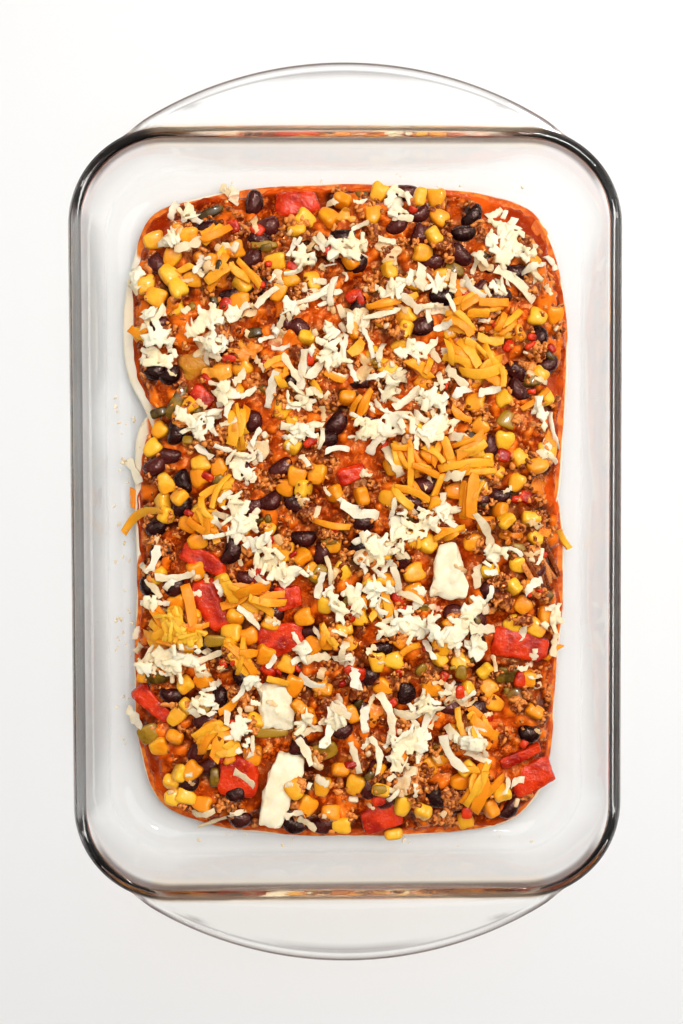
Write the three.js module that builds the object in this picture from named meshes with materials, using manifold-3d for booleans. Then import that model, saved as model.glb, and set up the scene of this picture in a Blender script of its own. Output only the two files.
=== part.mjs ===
// Enchilada casserole in its clear glass baking dish, in millimetres, +Z up, the dish's long side along Y.
// Two flour tortillas overlap on the dish's floor. The filling is one heap on them, of sauce, meat, beans,
// corn and shredded cheese. The larger pieces of tomato, pepper and cheese sit in pockets in that heap.
// The origin is under the middle of the dish, on the surface that it stands on.

import * as THREE from 'three';
import { mergeVertices } from 'three/addons/utils/BufferGeometryUtils.js';
import Module from 'manifold-3d';

const wasm = await Module();
wasm.setup();

// Dish: half sizes of the line where the inner wall would meet the floor, and what stands on that line
const dish = {
  halfX: 106,
  halfY: 153.6,
  cornerRadius: 29.6,
  height: 56,
  floor: 5,
  wall: 4.8,
  wallLean: 6.4,
  innerFillet: 9,
  outerFillet: 14,
  rimReach: 12,
  rimRound: 2.4,
};

// Handles at the two ends: flat plates whose outer edge is one long arc
const handle = {
  arcRadius: 164.4,
  arcCentreY: 28.9,
  top: 54.1,
  underside: 49.5,
  fadeFromX: 84,
  fadeToX: 103,
  round: 1.2,
};

// Tortillas: thickness, and outlines as a few points that a smooth closed curve joins
const tortillaThickness = 1.8;
const gap = 0.35;
const overlapLift = tortillaThickness + gap;
const overlapRamp = 9;
const backOutline = [
  [0, 150.5], [-36, 149], [-66, 144.5], [-88, 136], [-97, 114], [-101, 92], [-99.5, 64], [-90, 44],
  [-74, 0], [-36, -42], [24, -50], [74, -34], [96.5, 0], [101.5, 40], [103, 80], [99, 112],
  [88, 137], [62, 146.5], [32, 149.5],
];
const frontOutline = [
  [20, -150.5], [52, -149], [76, -144.5], [91, -130], [96, -108], [98, -76], [101.5, -36], [99, 6],
  [84, 44], [44, 66], [-10, 70], [-60, 62], [-93, 42], [-96.5, 14], [-96, -30], [-97.5, -74],
  [-95.5, -108], [-86, -134], [-60, -145.5], [-20, -150],
];

// Filling: how deep the heap lies, how far it stays inside the tortillas' edges
const heap = {
  edgeDepth: 1.6,
  depth: 8.4,
  slopeFrom: 1.5,
  slopeTo: 15,
  edgeShows: 2.2,
  backEdgeShows: 5.2,
  backEdgeAngle: 147,
  backEdgeSpread: 14,
  lump: 0.8,
  waveX: 8,
  waveY: 9,
  waveShift: 0.7,
  longWaveX: 15,
  longWaveY: 12,
};

// Small pieces at their real size. Sunk is the part of a piece's thickness that lies in the heap.
// Closeness is how near it may come to its neighbours, as a part of their two radii.
const bean = { size: [11.5, 7.8, 7], sunk: 0.4, closeness: 1 };
const kernel = { size: [9, 7.8, 5.4], pinch: 0.45, sunk: 0.45, closeness: 1.05 };
const mound = { thickness: 6, uneven: 0.34, sunk: 0.35, closeness: 0.85 };
const greenPepper = { thickness: 4, pinch: 0.2, sunk: 0.55, closeness: 0.8 };
const shred = { width: 3.8, thickness: 3, lengthShare: 0.8, splay: 9, sunk: 0.35, closeness: 0.9 };
const crumb = { size: 7, sunk: 0.4, closeness: 1, step: 38, shake: 8, reachX: 84, reachY: 136 };
const smallest = 0.92;
const sizeSpread = 0.16;
const tiltSpread = 16;
const blockTaper = 0.22;

// Larger pieces: how far their corners are drawn in, and how uneven their sides are
const chunk = { drawnIn: 0.38, uneven: 0.12 };

// Black beans: x, y and turn in degrees
const beans = [
  [-41, 141, 80], [-34, 130, 20], [-62, 129, 10], [-38, 124, -30], [-42, 115, 40], [-84, 113, -50],
  [-51, 99, 20], [-85, 86, 10], [-1, 125, 0], [-86, 65, 5], [-79, 63, 30], [-77, 37, 80], [-80, 27, -10],
  [-86, 22, 30], [-73, 15, -75], [-74, 4, 60], [-29, 21, 35], [-34, 6, 30], [-23, 5, -35], [-4, 41, 50],
  [-9, 34, 0], [-42, 42, 80], [-24, 61, 20], [-86, -6, 20], [-52, -17, 70], [-90, -33, -70],
  [-78, -33, 20], [-19, -11, 0], [-11, -18, 80], [-14, -54, 10], [-47, -74, -60], [-66, -60, -50],
  [-44, -29, 0], [-79, -82, 0], [-58, -84, 80], [-64, -94, 20], [-68, -108, 60], [-72, -123, 40],
  [-49, -140, -15], [-24, -143, -20], [-10, -144, 10], [-2, -99, 0], [-22, -105, 75], [24, 131, 50],
  [34, 136, 30], [34, 126, 70], [58, 135, 60], [54, 127, 5], [53, 117, -50], [40, 114, 10], [6, 94, 75],
  [44, 98, 0], [78, 109, 0], [70, 98, 10], [35, 85, 20], [88, 80, 80], [92, 67, 30], [79, 56, -50],
  [36, 13, 0], [30, 5, -20], [70, 8, -10], [65, 30, 80], [8, -4, 0], [6, -14, 60], [66, -36, -45],
  [86, -26, 20], [59, -59, 80], [16, -62, 10], [10, -74, 0], [27, -82, 85], [60, -89, 5],
  [84, -101, -5], [10, -126, -70], [41, -130, -75], [75, -137, 45], [28, 146, 0],
];

// Corn kernels: x, y and turn in degrees
const kernels = [
  [-75, 127, 0], [-70, 125, 0], [-78, 116, 60], [-79, 108, -45], [-75, 102, -60], [-90, 104, 90],
  [-85, 98, -25], [-68, 106, 0], [-55, 118, -40], [-31, 114, 0], [-25, 106, 30], [-7, 134, -40],
  [-1, 141, 80], [-47, 96, 0], [-86, 124, 15], [-84, 38, 45], [-87, 30, 40], [-57, 21, -80],
  [-66, 17, -60], [-83, 5, 20], [-75, 8, -25], [-27, 12, -10], [-22, 17, 80], [-13, 18, 80], [-5, 9, 20],
  [-55, 65, 0], [-81, 14, -70], [-71, -4, -10], [-67, -12, 20], [-20, -19, -50], [-73, -60, 0],
  [-43, -41, -20], [-50, -47, 80], [-52, -54, 0], [-19, -47, 20], [-9, -41, 70], [-1, -53, 80],
  [-15, -60, 60], [-73, -77, -60], [-65, -75, 30], [-77, -92, 50], [-78, -102, 90], [-80, -123, 80],
  [-76, -118, 0], [-79, -130, 0], [-66, -133, -10], [-3, -117, 60], [-11, -125, 80], [-18, -134, 60],
  [-7, -137, -15], [-2, -143, 0], [4, -124, 70], [16, 146, 60], [13, 135, 80], [34, 143, 0],
  [42, 143, 90], [43, 134, -40], [40, 125, 10], [84, 114, 20], [53, 101, 80], [44, 107, 0],
  [96, 90, 90], [20, 110, 0], [4, 83, 20], [1, 52, 80], [59, 50, 0], [72, 52, -70], [61, 39, 40],
  [72, 33, 80], [79, 25, -55], [87, 22, 30], [78, 14, 60], [7, 8, 0], [20, 7, -20], [70, 1, 10],
  [38, 27, -30], [88, 62, 50], [50, 10, 0], [72, -3, -40], [84, -3, 80], [31, -36, 10], [31, -27, 20],
  [18, -31, 70], [81, -42, 50], [76, -34, 60], [79, -23, 10], [6, -47, 20], [22, -67, 0], [42, -66, 20],
  [52, -68, 40], [83, -76, 0], [65, -80, -50], [39, -80, -60], [91, -47, 20], [86, -91, 60],
  [26, -134, 70], [35, -137, 80], [22, -149, 90], [55, -142, -70], [66, -136, 30], [71, -128, -70],
  [52, -123, 0],
];

// Heaps of grated white cheese: x, y, length, width and turn in degrees
const whiteHeaps = [
  [-71, 137, 8, 5, -40], [-95, 104, 16, 7, 80], [-59, 87, 26, 16, 15], [-84, 81, 12, 9, 20],
  [-20, 115, 13, 9, -60], [-5, 117, 14, 10, 10], [-7, 84, 12, 7, -60], [-84, 72, 17, 13, 0],
  [-60, 75, 9, 8, 0], [-54, 54, 13, 10, 0], [-69, 40, 22, 9, -55], [-20, 52, 14, 9, 0],
  [-5, 71, 14, 11, 10], [-48, 23, 15, 9, -50], [-49, 4, 15, 12, -30], [-19, 37, 16, 10, -10],
  [-48, -5, 20, 15, 0], [-35, -22, 16, 14, 30], [-27, -27, 18, 8, 10], [-4, -42, 15, 8, -70],
  [-76, -66, 24, 16, 0], [-90, -40, 9, 7, 0], [-43, -75, 8, 7, 0], [-63, -85, 11, 9, 0],
  [-48, -98, 24, 10, -85], [-19, -96, 12, 8, 70], [-4, -94, 9, 8, 0], [24, 141, 16, 13, 0],
  [5, 121, 16, 12, 60], [43, 103, 12, 6, 0], [74, 122, 30, 17, -75], [22, 101, 13, 10, 30],
  [33, 74, 18, 10, 20], [20, 56, 12, 8, 80], [40, 51, 15, 13, 0], [22, 41, 19, 13, -10],
  [8, 37, 13, 11, 0], [42, 39, 18, 10, 10], [89, 45, 13, 6, -80], [46, 1, 16, 6, 0],
  [25, -7, 13, 18, 0], [37, -5, 16, 10, 0], [67, -19, 12, 11, 0], [14, -17, 14, 14, 0],
  [15, -34, 16, 11, 70], [3, -38, 14, 10, -70], [32, -50, 20, 16, -20], [20, -53, 12, 10, 30],
  [47, -51, 16, 12, -20], [57, -42, 14, 9, 60], [95, -48, 14, 6, 60], [24, -109, 20, 11, 75],
  [33, -107, 22, 11, 80], [56, -104, 16, 8, -10], [36, -88, 14, 8, 0],
];

// Bunches of shredded cheddar: x, y, length, width and turn in degrees
const cheddarBunches = [
  [-57, 126, 14, 4, 28], [-56, 107, 12, 9, 30], [-43, 108, 15, 4, -50], [-91, 82, 12, 7, -20],
  [-30, 65, 12, 10, 40], [-51, 40, 17, 7, -85], [-56, 9, 18, 6, 62], [-64, -4, 14, 11, -20],
  [-44, -35, 20, 8, 15], [-35, -39, 15, 5, -8], [-79, -51, 22, 13, -25], [-47, -66, 19, 7, -50],
  [-8, -55, 11, 4, -55], [-62, -100, 14, 12, 30], [-54, -107, 12, 7, 0], [18, 94, 15, 4, 10],
  [58, 93, 24, 8, 5], [52, 84, 14, 7, -38], [74, 87, 12, 8, 45], [54, 71, 16, 10, -50],
  [66, 70, 15, 8, -60], [62, 64, 19, 6, 5], [33, 65, 14, 5, -36], [9, 49, 15, 4, 65],
  [56, 31, 15, 10, 30], [46, 27, 15, 6, -70], [54, 21, 24, 5, 6], [27, 24, 18, 8, -75],
  [36, 19, 13, 5, -22], [57, 8, 20, 6, 85], [30, 9, 17, 4, -20], [46, -9, 14, 5, 23],
  [17, -42, 14, 6, -70], [60, -100, 18, 10, -50], [60, -124, 22, 9, 62],
];

// Green pepper: x, y, length, width and turn in degrees
const greenPeppers = [
  [-61, 136, 14, 5, 25], [-36, 121, 12, 4, 0], [-41, 82, 9, 5, 10], [-76, 51, 17, 6, 62],
  [-84, 46, 8, 5, 20], [-57, 32, 13, 7, 60], [-7, -12, 8, 4, 0], [-12, -27, 9, 7, 60],
  [-84, -46, 7, 8, 0], [-59, -57, 10, 6, 0], [-86, -74, 11, 7, 0], [-90, -100, 10, 9, 30],
  [-10, -108, 12, 9, 20], [8, 145, 6, 4, 0], [50, 110, 9, 6, -20], [12, 101, 6, 4, 20],
  [74, 42, 9, 9, -30], [78, -17, 9, 8, 0], [74, -74, 11, 8, 0], [78, -84, 9, 8, 30],
];

// Larger pieces, each a solid of its own: x, y, length, width, height, turn, how far it stands proud, pinch
const tomatoPieces = [
  [-21, 140.5, 20, 11, 8, 2, 3.2, 0.1], [-64.5, 53.5, 11, 9, 7, -40, 2.6, 0.3],
  [-64, -21, 23, 10, 8, -28, 3.2, 0.3], [-61.5, -41.5, 25, 13, 9, -64, 3.6, 0.15],
  [-29, -57, 22, 18, 9, 15, 4, 0.45], [80, -60.5, 26, 15, 9, -14, 4.2, 0.3],
  [86, -122, 22, 13, 8, 26, 4.2, 0.05], [80, -111.6, 20, 5.6, 8, 24, 3.6, 0.2],
  [16.5, -140, 19, 13, 8, 14, 3.4, 0.15], [-49, -120, 18, 19, 9, -8, 3.8, 0.1],
  [-88, -87, 21, 9, 8, -43, 3.8, 0.4], [3, 18, 13, 9, 7, 20, 2.6, 0.3], [-26, -38, 12, 12, 7, 10, 2.4, 0.2],
];
const pepperPieces = [[-68, 67.5, 13, 12.5, 7, 20, 2.6, 0.15]];
const cheesePieces = [
  [47, -26, 25, 19, 8, 92, 5, 0.5], [-32, -88, 21, 17, 8, -86, 5, 0.1],
  [-30, -126, 34, 15, 9, -107, 5.4, 0.25],
];

// Colours seen in the photograph
const colours = {
  glass: { color: 0xe8eeec, roughness: 0.05, metalness: 0, transparent: true, opacity: 0.35 },
  tortilla: { color: 0xf3dcae, roughness: 0.75, metalness: 0 },
  filling: { color: 0xb5561c, roughness: 0.45, metalness: 0 },
  tomato: { color: 0xc92a12, roughness: 0.25, metalness: 0 },
  pepper: { color: 0xb97a1e, roughness: 0.3, metalness: 0 },
  cheese: { color: 0xfbf3da, roughness: 0.5, metalness: 0 },
};

const degrees = Math.PI / 180;

// A draw from 0 to 1 that gives the same row of numbers for the same seed
function seeded(seed) {
  let state = seed >>> 0;
  return () => {
    state = (state * 1664525 + 1013904223) >>> 0;
    return state / 4294967296;
  };
}

// 0 below from, 1 above to, smooth between
function smoothstep(from, to, value) {
  const t = Math.min(1, Math.max(0, (value - from) / (to - from)));
  return t * t * (3 - 2 * t);
}

// Closed geometry from points [x, y, z] and triangles of point numbers
function bodyOf(points, triangles) {
  const geometry = new THREE.BufferGeometry();
  geometry.setAttribute('position', new THREE.Float32BufferAttribute(points.flat(), 3));
  geometry.setIndex(triangles.flat());
  return geometry;
}

// Two triangles for each cell between two rings of equal length, which run anticlockwise seen from above
function bridge(lower, upper) {
  const count = lower.length;
  return lower.flatMap((_, i) => {
    const next = (i + 1) % count;
    return [[lower[i], lower[next], upper[next]], [lower[i], upper[next], upper[i]]];
  });
}

// A body from rings of points, closed at both ends by a fan to a middle point
function ringBody(rings, firstMiddle, lastMiddle) {
  const count = rings[0].length;
  const points = [...rings.flat(), firstMiddle, lastMiddle];
  const numbers = rings.map((ring, r) => ring.map((_, i) => r * count + i));
  const first = points.length - 2;
  const last = points.length - 1;
  const triangles = numbers.slice(1).flatMap((ring, r) => bridge(numbers[r], ring));
  for (let i = 0; i < count; i += 1) {
    const next = (i + 1) % count;
    triangles.push([first, numbers[0][next], numbers[0][i]]);
    triangles.push([last, numbers[rings.length - 1][i], numbers[rings.length - 1][next]]);
  }
  return bodyOf(points, triangles);
}

// Solids for joining and cutting, and back
function solidOf(geometry) {
  const bare = geometry.clone();
  bare.deleteAttribute('normal');
  bare.deleteAttribute('uv');
  const merged = mergeVertices(bare, 1e-4);
  const vertProperties = new Float32Array(merged.attributes.position.array);
  const triVerts = new Uint32Array(merged.index.array);
  return new wasm.Manifold(new wasm.Mesh({ numProp: 3, vertProperties, triVerts }));
}

function geometryOf(solid) {
  const mesh = solid.getMesh();
  const points = [];
  for (let i = 0; i < mesh.vertProperties.length; i += mesh.numProp) {
    points.push([mesh.vertProperties[i], mesh.vertProperties[i + 1], mesh.vertProperties[i + 2]]);
  }
  return bodyOf(points, [Array.from(mesh.triVerts)]);
}

// The largest of the separate bodies that a cut may leave
function mainBody(solid) {
  return solid.decompose().reduce((most, body) => (body.volume() > most.volume() ? body : most));
}

// Dish: stations round the floor line, each with its place, its outward direction and its corner or side
function dishStations() {
  const { halfX, halfY, cornerRadius } = dish;
  const cornerSteps = 7;
  const endSteps = 8;
  const sideSteps = 1;
  const stations = [];
  const corners = [[1, 1, 0], [-1, 1, 90], [-1, -1, 180], [1, -1, 270]];
  corners.forEach(([sx, sy, start], number) => {
    const cx = sx * (halfX - cornerRadius);
    const cy = sy * (halfY - cornerRadius);
    for (let i = 0; i <= cornerSteps; i += 1) {
      const angle = (start + (90 * i) / cornerSteps) * degrees;
      const out = [Math.cos(angle), Math.sin(angle)];
      stations.push({ at: [cx + cornerRadius * out[0], cy + cornerRadius * out[1]], out });
    }
    const alongEnd = number % 2 === 0;
    const steps = alongEnd ? endSteps : sideSteps;
    const from = stations[stations.length - 1];
    const span = alongEnd ? -sx * 2 * (halfX - cornerRadius) : -sy * 2 * (halfY - cornerRadius);
    for (let i = 1; i < steps; i += 1) {
      const shift = (span * i) / steps;
      const at = alongEnd ? [from.at[0] + shift, from.at[1]] : [from.at[0], from.at[1] + shift];
      stations.push({ at, out: from.out });
    }
  });
  return stations;
}

// How far the handle stands out from the rim at a station
function handleWidth({ at, out }) {
  const { arcRadius, arcCentreY, fadeFromX, fadeToX } = handle;
  if (Math.abs(out[1]) < 0.01) return 0;
  const rim = [at[0] + dish.rimReach * out[0], at[1] + dish.rimReach * out[1]];
  const fromCentre = [rim[0], rim[1] - Math.sign(out[1]) * arcCentreY];
  const along = fromCentre[0] * out[0] + fromCentre[1] * out[1];
  const inside = arcRadius ** 2 - fromCentre[0] ** 2 - fromCentre[1] ** 2;
  const reach = -along + Math.sqrt(Math.max(0, along ** 2 + inside));
  return Math.max(0, reach) * (1 - smoothstep(fadeFromX, fadeToX, Math.abs(rim[0])));
}

// Points of an arc in the section, from one angle to another in degrees
function sectionArc(centre, radius, from, to, steps) {
  return Array.from({ length: steps + 1 }, (_, i) => {
    const angle = (from + ((to - from) * i) / steps) * degrees;
    return [centre[0] + radius * Math.cos(angle), centre[1] + radius * Math.sin(angle)];
  });
}

const leanPerMm = dish.wallLean / (dish.height - dish.floor);
const lean = Math.atan(leanPerMm) / degrees;
const innerWallAt = (z) => leanPerMm * (z - dish.floor);
const filletCentre = [
  innerWallAt(dish.floor + dish.innerFillet) - dish.innerFillet / Math.cos(lean * degrees),
  dish.floor + dish.innerFillet,
];

// Section of the dish as [outwards from the floor line, z], from the floor over the rim and down to the base
function dishSection(width) {
  const { height, wall, outerFillet, rimReach, rimRound, innerFillet } = dish;
  const edge = rimReach + width;
  const outerCentre = [innerWallAt(outerFillet) + wall - outerFillet / Math.cos(lean * degrees), outerFillet];
  return [
    ...sectionArc(filletCentre, innerFillet, -90, -lean, 5),
    [innerWallAt(height - rimRound), height - rimRound],
    [innerWallAt(height) + 0.25 * rimRound, height - 0.2 * rimRound],
    [innerWallAt(height) + 0.75 * rimRound, height],
    [rimReach - 0.9 * rimRound, height],
    [rimReach - 0.4 * rimRound, height - 0.25 * rimRound],
    [rimReach - 0.2 * rimRound, handle.top + 0.25 * handle.round],
    [edge - 0.3 * handle.round, handle.top],
    [edge, handle.top - handle.round],
    [edge, handle.underside + handle.round],
    [edge - handle.round, handle.underside],
    [innerWallAt(handle.underside) + wall, handle.underside - 0.7 * handle.round],
    ...sectionArc(outerCentre, outerFillet, -lean, -90, 4),
  ];
}

function dishGeometry() {
  const stations = dishStations();
  const sections = stations.map((station) => dishSection(handleWidth(station)));
  const rings = sections[0].map((_, level) => stations.map(({ at, out }, s) => {
    const [reach, z] = sections[s][level];
    return [at[0] + reach * out[0], at[1] + reach * out[1], z];
  }));
  return ringBody(rings.reverse(), [0, 0, 0], [0, 0, dish.floor]);
}

// Signed distance to the dish's floor line, negative inside it
function floorLineDistance(x, y) {
  const { halfX, halfY, cornerRadius } = dish;
  const dx = Math.abs(x) - (halfX - cornerRadius);
  const dy = Math.abs(y) - (halfY - cornerRadius);
  const outside = Math.hypot(Math.max(dx, 0), Math.max(dy, 0));
  return outside + Math.min(Math.max(dx, dy), 0) - cornerRadius;
}

// Height of the glass under a point, on the flat floor or in the fillet round it
function floorHeight(x, y) {
  const into = Math.max(0, floorLineDistance(x, y) - filletCentre[0]);
  const reach = Math.min(into, dish.innerFillet * 0.95);
  return dish.floor + dish.innerFillet - Math.sqrt(dish.innerFillet ** 2 - reach ** 2);
}

// Outlines: a smooth closed curve through a few points, and what lies where against it
function smoothOutline(points, count) {
  const knots = points.map(([x, y]) => new THREE.Vector3(x, y, 0));
  const curve = new THREE.CatmullRomCurve3(knots, true, 'centripetal');
  return curve.getPoints(count).slice(0, count).map((p) => [p.x, p.y]);
}

const backEdge = smoothOutline(backOutline, 160);
const frontEdge = smoothOutline(frontOutline, 160);

// Distance from a point to an outline, positive inside
function insideDistance(edge, x, y) {
  let nearest = Infinity;
  let within = false;
  edge.forEach(([ax, ay], i) => {
    const [bx, by] = edge[(i + 1) % edge.length];
    const length = (bx - ax) ** 2 + (by - ay) ** 2;
    const t = Math.min(1, Math.max(0, ((x - ax) * (bx - ax) + (y - ay) * (by - ay)) / length));
    nearest = Math.min(nearest, Math.hypot(x - ax - t * (bx - ax), y - ay - t * (by - ay)));
    if ((ay > y) !== (by > y) && x < ax + ((y - ay) * (bx - ax)) / (by - ay)) within = !within;
  });
  return within ? nearest : -nearest;
}

// How far an outline lies from a centre in a direction
function reachOf(edge, angle, centre = [0, 0]) {
  const [dx, dy] = [Math.cos(angle), Math.sin(angle)];
  let reach = 0;
  edge.forEach(([ax, ay], i) => {
    const [bx, by] = edge[(i + 1) % edge.length];
    const sideA = (ax - centre[0]) * dy - (ay - centre[1]) * dx;
    const sideB = (bx - centre[0]) * dy - (by - centre[1]) * dx;
    if (sideA * sideB > 0) return;
    const t = sideA / (sideA - sideB);
    const along = (ax + t * (bx - ax) - centre[0]) * dx + (ay + t * (by - ay) - centre[1]) * dy;
    reach = Math.max(reach, along);
  });
  return reach;
}

// A sheet or heap over a polar net round a centre: its top and its underside are functions of x and y.
// With swell the same body is that much thicker on every side.
function netBody({ centre, reach, spokes, fractions, top, under, swell = 0 }) {
  const ringAt = (fraction, height, rise) => Array.from({ length: spokes }, (_, i) => {
    const angle = (2 * Math.PI * i) / spokes;
    const radius = fraction * reach(angle);
    const pushed = fraction === 1 ? radius + swell : radius;
    const z = height(centre[0] + radius * Math.cos(angle), centre[1] + radius * Math.sin(angle)) + rise;
    return [centre[0] + pushed * Math.cos(angle), centre[1] + pushed * Math.sin(angle), z];
  });
  const rings = [
    ...fractions.map((fraction) => ringAt(fraction, under, -swell)),
    ...[...fractions].reverse().map((fraction) => ringAt(fraction, top, swell)),
  ];
  return ringBody(rings, [...centre, under(...centre) - swell], [...centre, top(...centre) + swell]);
}

const tortillaUnder = {
  front: (x, y) => floorHeight(x, y) + gap,
  back: (x, y) => floorHeight(x, y) + gap
    + overlapLift * smoothstep(-overlapRamp, 0, insideDistance(frontEdge, x, y)),
};

// A tortilla, or with swell the space that its neighbours keep clear of
function tortillaSolid(name, edge, centre, swell = 0) {
  return solidOf(netBody({
    centre,
    reach: (angle) => reachOf(edge, angle, centre),
    spokes: 30,
    fractions: [0.6, 0.91, 1],
    top: (x, y) => tortillaUnder[name](x, y) + tortillaThickness,
    under: tortillaUnder.front,
    swell,
  }));
}

// Heap: its outline follows the outer of the two tortillas, and more of the back one's left edge shows
function heapReach(angle) {
  const outer = Math.max(reachOf(backEdge, angle), reachOf(frontEdge, angle));
  const offset = (angle / degrees - heap.backEdgeAngle) / heap.backEdgeSpread;
  return outer - heap.edgeShows - heap.backEdgeShows * Math.exp(-offset * offset);
}

// Highest tortilla under a point
function tortillaTop(x, y) {
  const back = insideDistance(backEdge, x, y) > 0 ? tortillaUnder.back(x, y) : 0;
  const front = insideDistance(frontEdge, x, y) > 0 ? tortillaUnder.front(x, y) : floorHeight(x, y);
  return Math.max(back, front) + tortillaThickness;
}

function heapTop(x, y) {
  const angle = Math.atan2(y, x);
  const inside = heapReach(angle < 0 ? angle + 2 * Math.PI : angle) - Math.hypot(x, y);
  const rise = smoothstep(heap.slopeFrom, heap.slopeTo, inside);
  const waves = Math.sin(x / heap.waveX + heap.waveShift) * Math.cos(y / heap.waveY)
    + Math.sin(x / heap.longWaveX - y / heap.longWaveY);
  const lift = overlapLift * smoothstep(-overlapRamp, 0, insideDistance(frontEdge, x, y))
    * smoothstep(-overlapRamp, 0, insideDistance(backEdge, x, y));
  const bed = floorHeight(x, y) + gap + tortillaThickness + lift;
  return bed + heap.edgeDepth + (heap.depth - heap.edgeDepth + heap.lump * waves) * rise;
}

function heapCore(tortillaSpaces) {
  const raw = solidOf(netBody({
    centre: [0, 0],
    reach: heapReach,
    spokes: 36,
    fractions: [0.3, 0.55, 0.76, 0.9, 0.96, 1],
    top: heapTop,
    under: (x, y) => floorHeight(x, y) + tortillaThickness * 0.6,
  }));
  return mainBody(tortillaSpaces.reduce((body, space) => body.subtract(space), raw));
}

// Piece shapes, each round its own middle and with few sides, because only their upper halves show
function beanGeometry([length, width, thickness]) {
  const geometry = new THREE.SphereGeometry(0.5, 6, 3);
  geometry.rotateX(90 * degrees);
  geometry.scale(length, width, thickness * 1.1);
  return geometry;
}

// A block that narrows towards its top and, by pinch, towards one end
function blockGeometry([length, width, thickness], pinch) {
  const geometry = new THREE.BoxGeometry(1, 1, 1);
  const place = geometry.attributes.position;
  for (let i = 0; i < place.count; i += 1) {
    const [x, y, z] = [place.getX(i), place.getY(i), place.getZ(i)];
    const top = 1 - blockTaper * (z + 0.5);
    const end = 1 - pinch * (0.5 - x);
    place.setXYZ(i, x * top * length, y * top * end * width, z * thickness);
  }
  return geometry;
}

// A low mound of grated cheese with an uneven outline
function moundGeometry([length, width, thickness], draw) {
  const geometry = new THREE.SphereGeometry(0.5, 7, 3);
  geometry.rotateX(90 * degrees);
  return unevenGeometry(geometry, [length, width, thickness], mound.uneven, draw);
}

// Sides scaled to size, with each corner moved in or out by up to half of amount
function unevenGeometry(geometry, [length, width, height], amount, draw) {
  geometry.deleteAttribute('normal');
  geometry.deleteAttribute('uv');
  const body = mergeVertices(geometry, 1e-4);
  const place = body.attributes.position;
  for (let i = 0; i < place.count; i += 1) {
    const uneven = () => 1 + amount * (draw() - 0.5);
    place.setXYZ(
      i,
      place.getX(i) * uneven() * length,
      place.getY(i) * uneven() * width,
      place.getZ(i) * uneven() * height,
    );
  }
  return body;
}

// A cut piece: a block with rounded edges, pinched towards one end, with uneven sides
function chunkGeometry([length, width, height], pinch, draw) {
  const geometry = new THREE.BoxGeometry(1, 1, 1, 2, 2, 2);
  const place = geometry.attributes.position;
  for (let i = 0; i < place.count; i += 1) {
    const [x, y, z] = [place.getX(i), place.getY(i), place.getZ(i)];
    const round = 1 - chunk.drawnIn * (1 - 0.5 / Math.hypot(x, y, z));
    const narrow = 1 - pinch * (x + 0.5);
    place.setXYZ(i, x * round, y * round * narrow, z * round);
  }
  return unevenGeometry(geometry, [length, width, height], chunk.uneven, draw);
}

// A piece turned flat by turn degrees, tipped by tilt, and moved to a place
function placed(geometry, [x, y, z], turn, tilt = 0) {
  geometry.rotateX(tilt * degrees);
  geometry.rotateZ(turn * degrees);
  geometry.translate(x, y, z);
  return geometry;
}

// Height at which a piece lies in the heap, sunk by a part of its thickness, and clear of the tortilla
function restHeight(x, y, thickness, sunk) {
  return Math.max(heapTop(x, y) + thickness * (0.5 - sunk), tortillaTop(x, y) + thickness / 2 + gap);
}

// Larger pieces: the solid itself, and with swell the pocket that the heap keeps for it
function largePiece([x, y, length, width, height, turn, proud, pinch], seed, swell = 0) {
  const geometry = chunkGeometry([length, width, height], pinch, seeded(seed));
  geometry.scale(1 + (2 * swell) / length, 1 + (2 * swell) / width, 1 + (2 * swell) / height);
  const z = Math.max(heapTop(x, y) + proud - height / 2, tortillaTop(x, y) + height / 2 + gap);
  return placed(geometry, [x, y, z], turn);
}

// A piece seen from above, as three circles along its length
function circlesOf(x, y, length, width, turn) {
  const half = Math.max(0, length - width) / 2;
  return [-1, 0, 1].map((side) => ({
    x: x + side * half * Math.cos(turn * degrees),
    y: y + side * half * Math.sin(turn * degrees),
    radius: width / 2,
  }));
}

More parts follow.
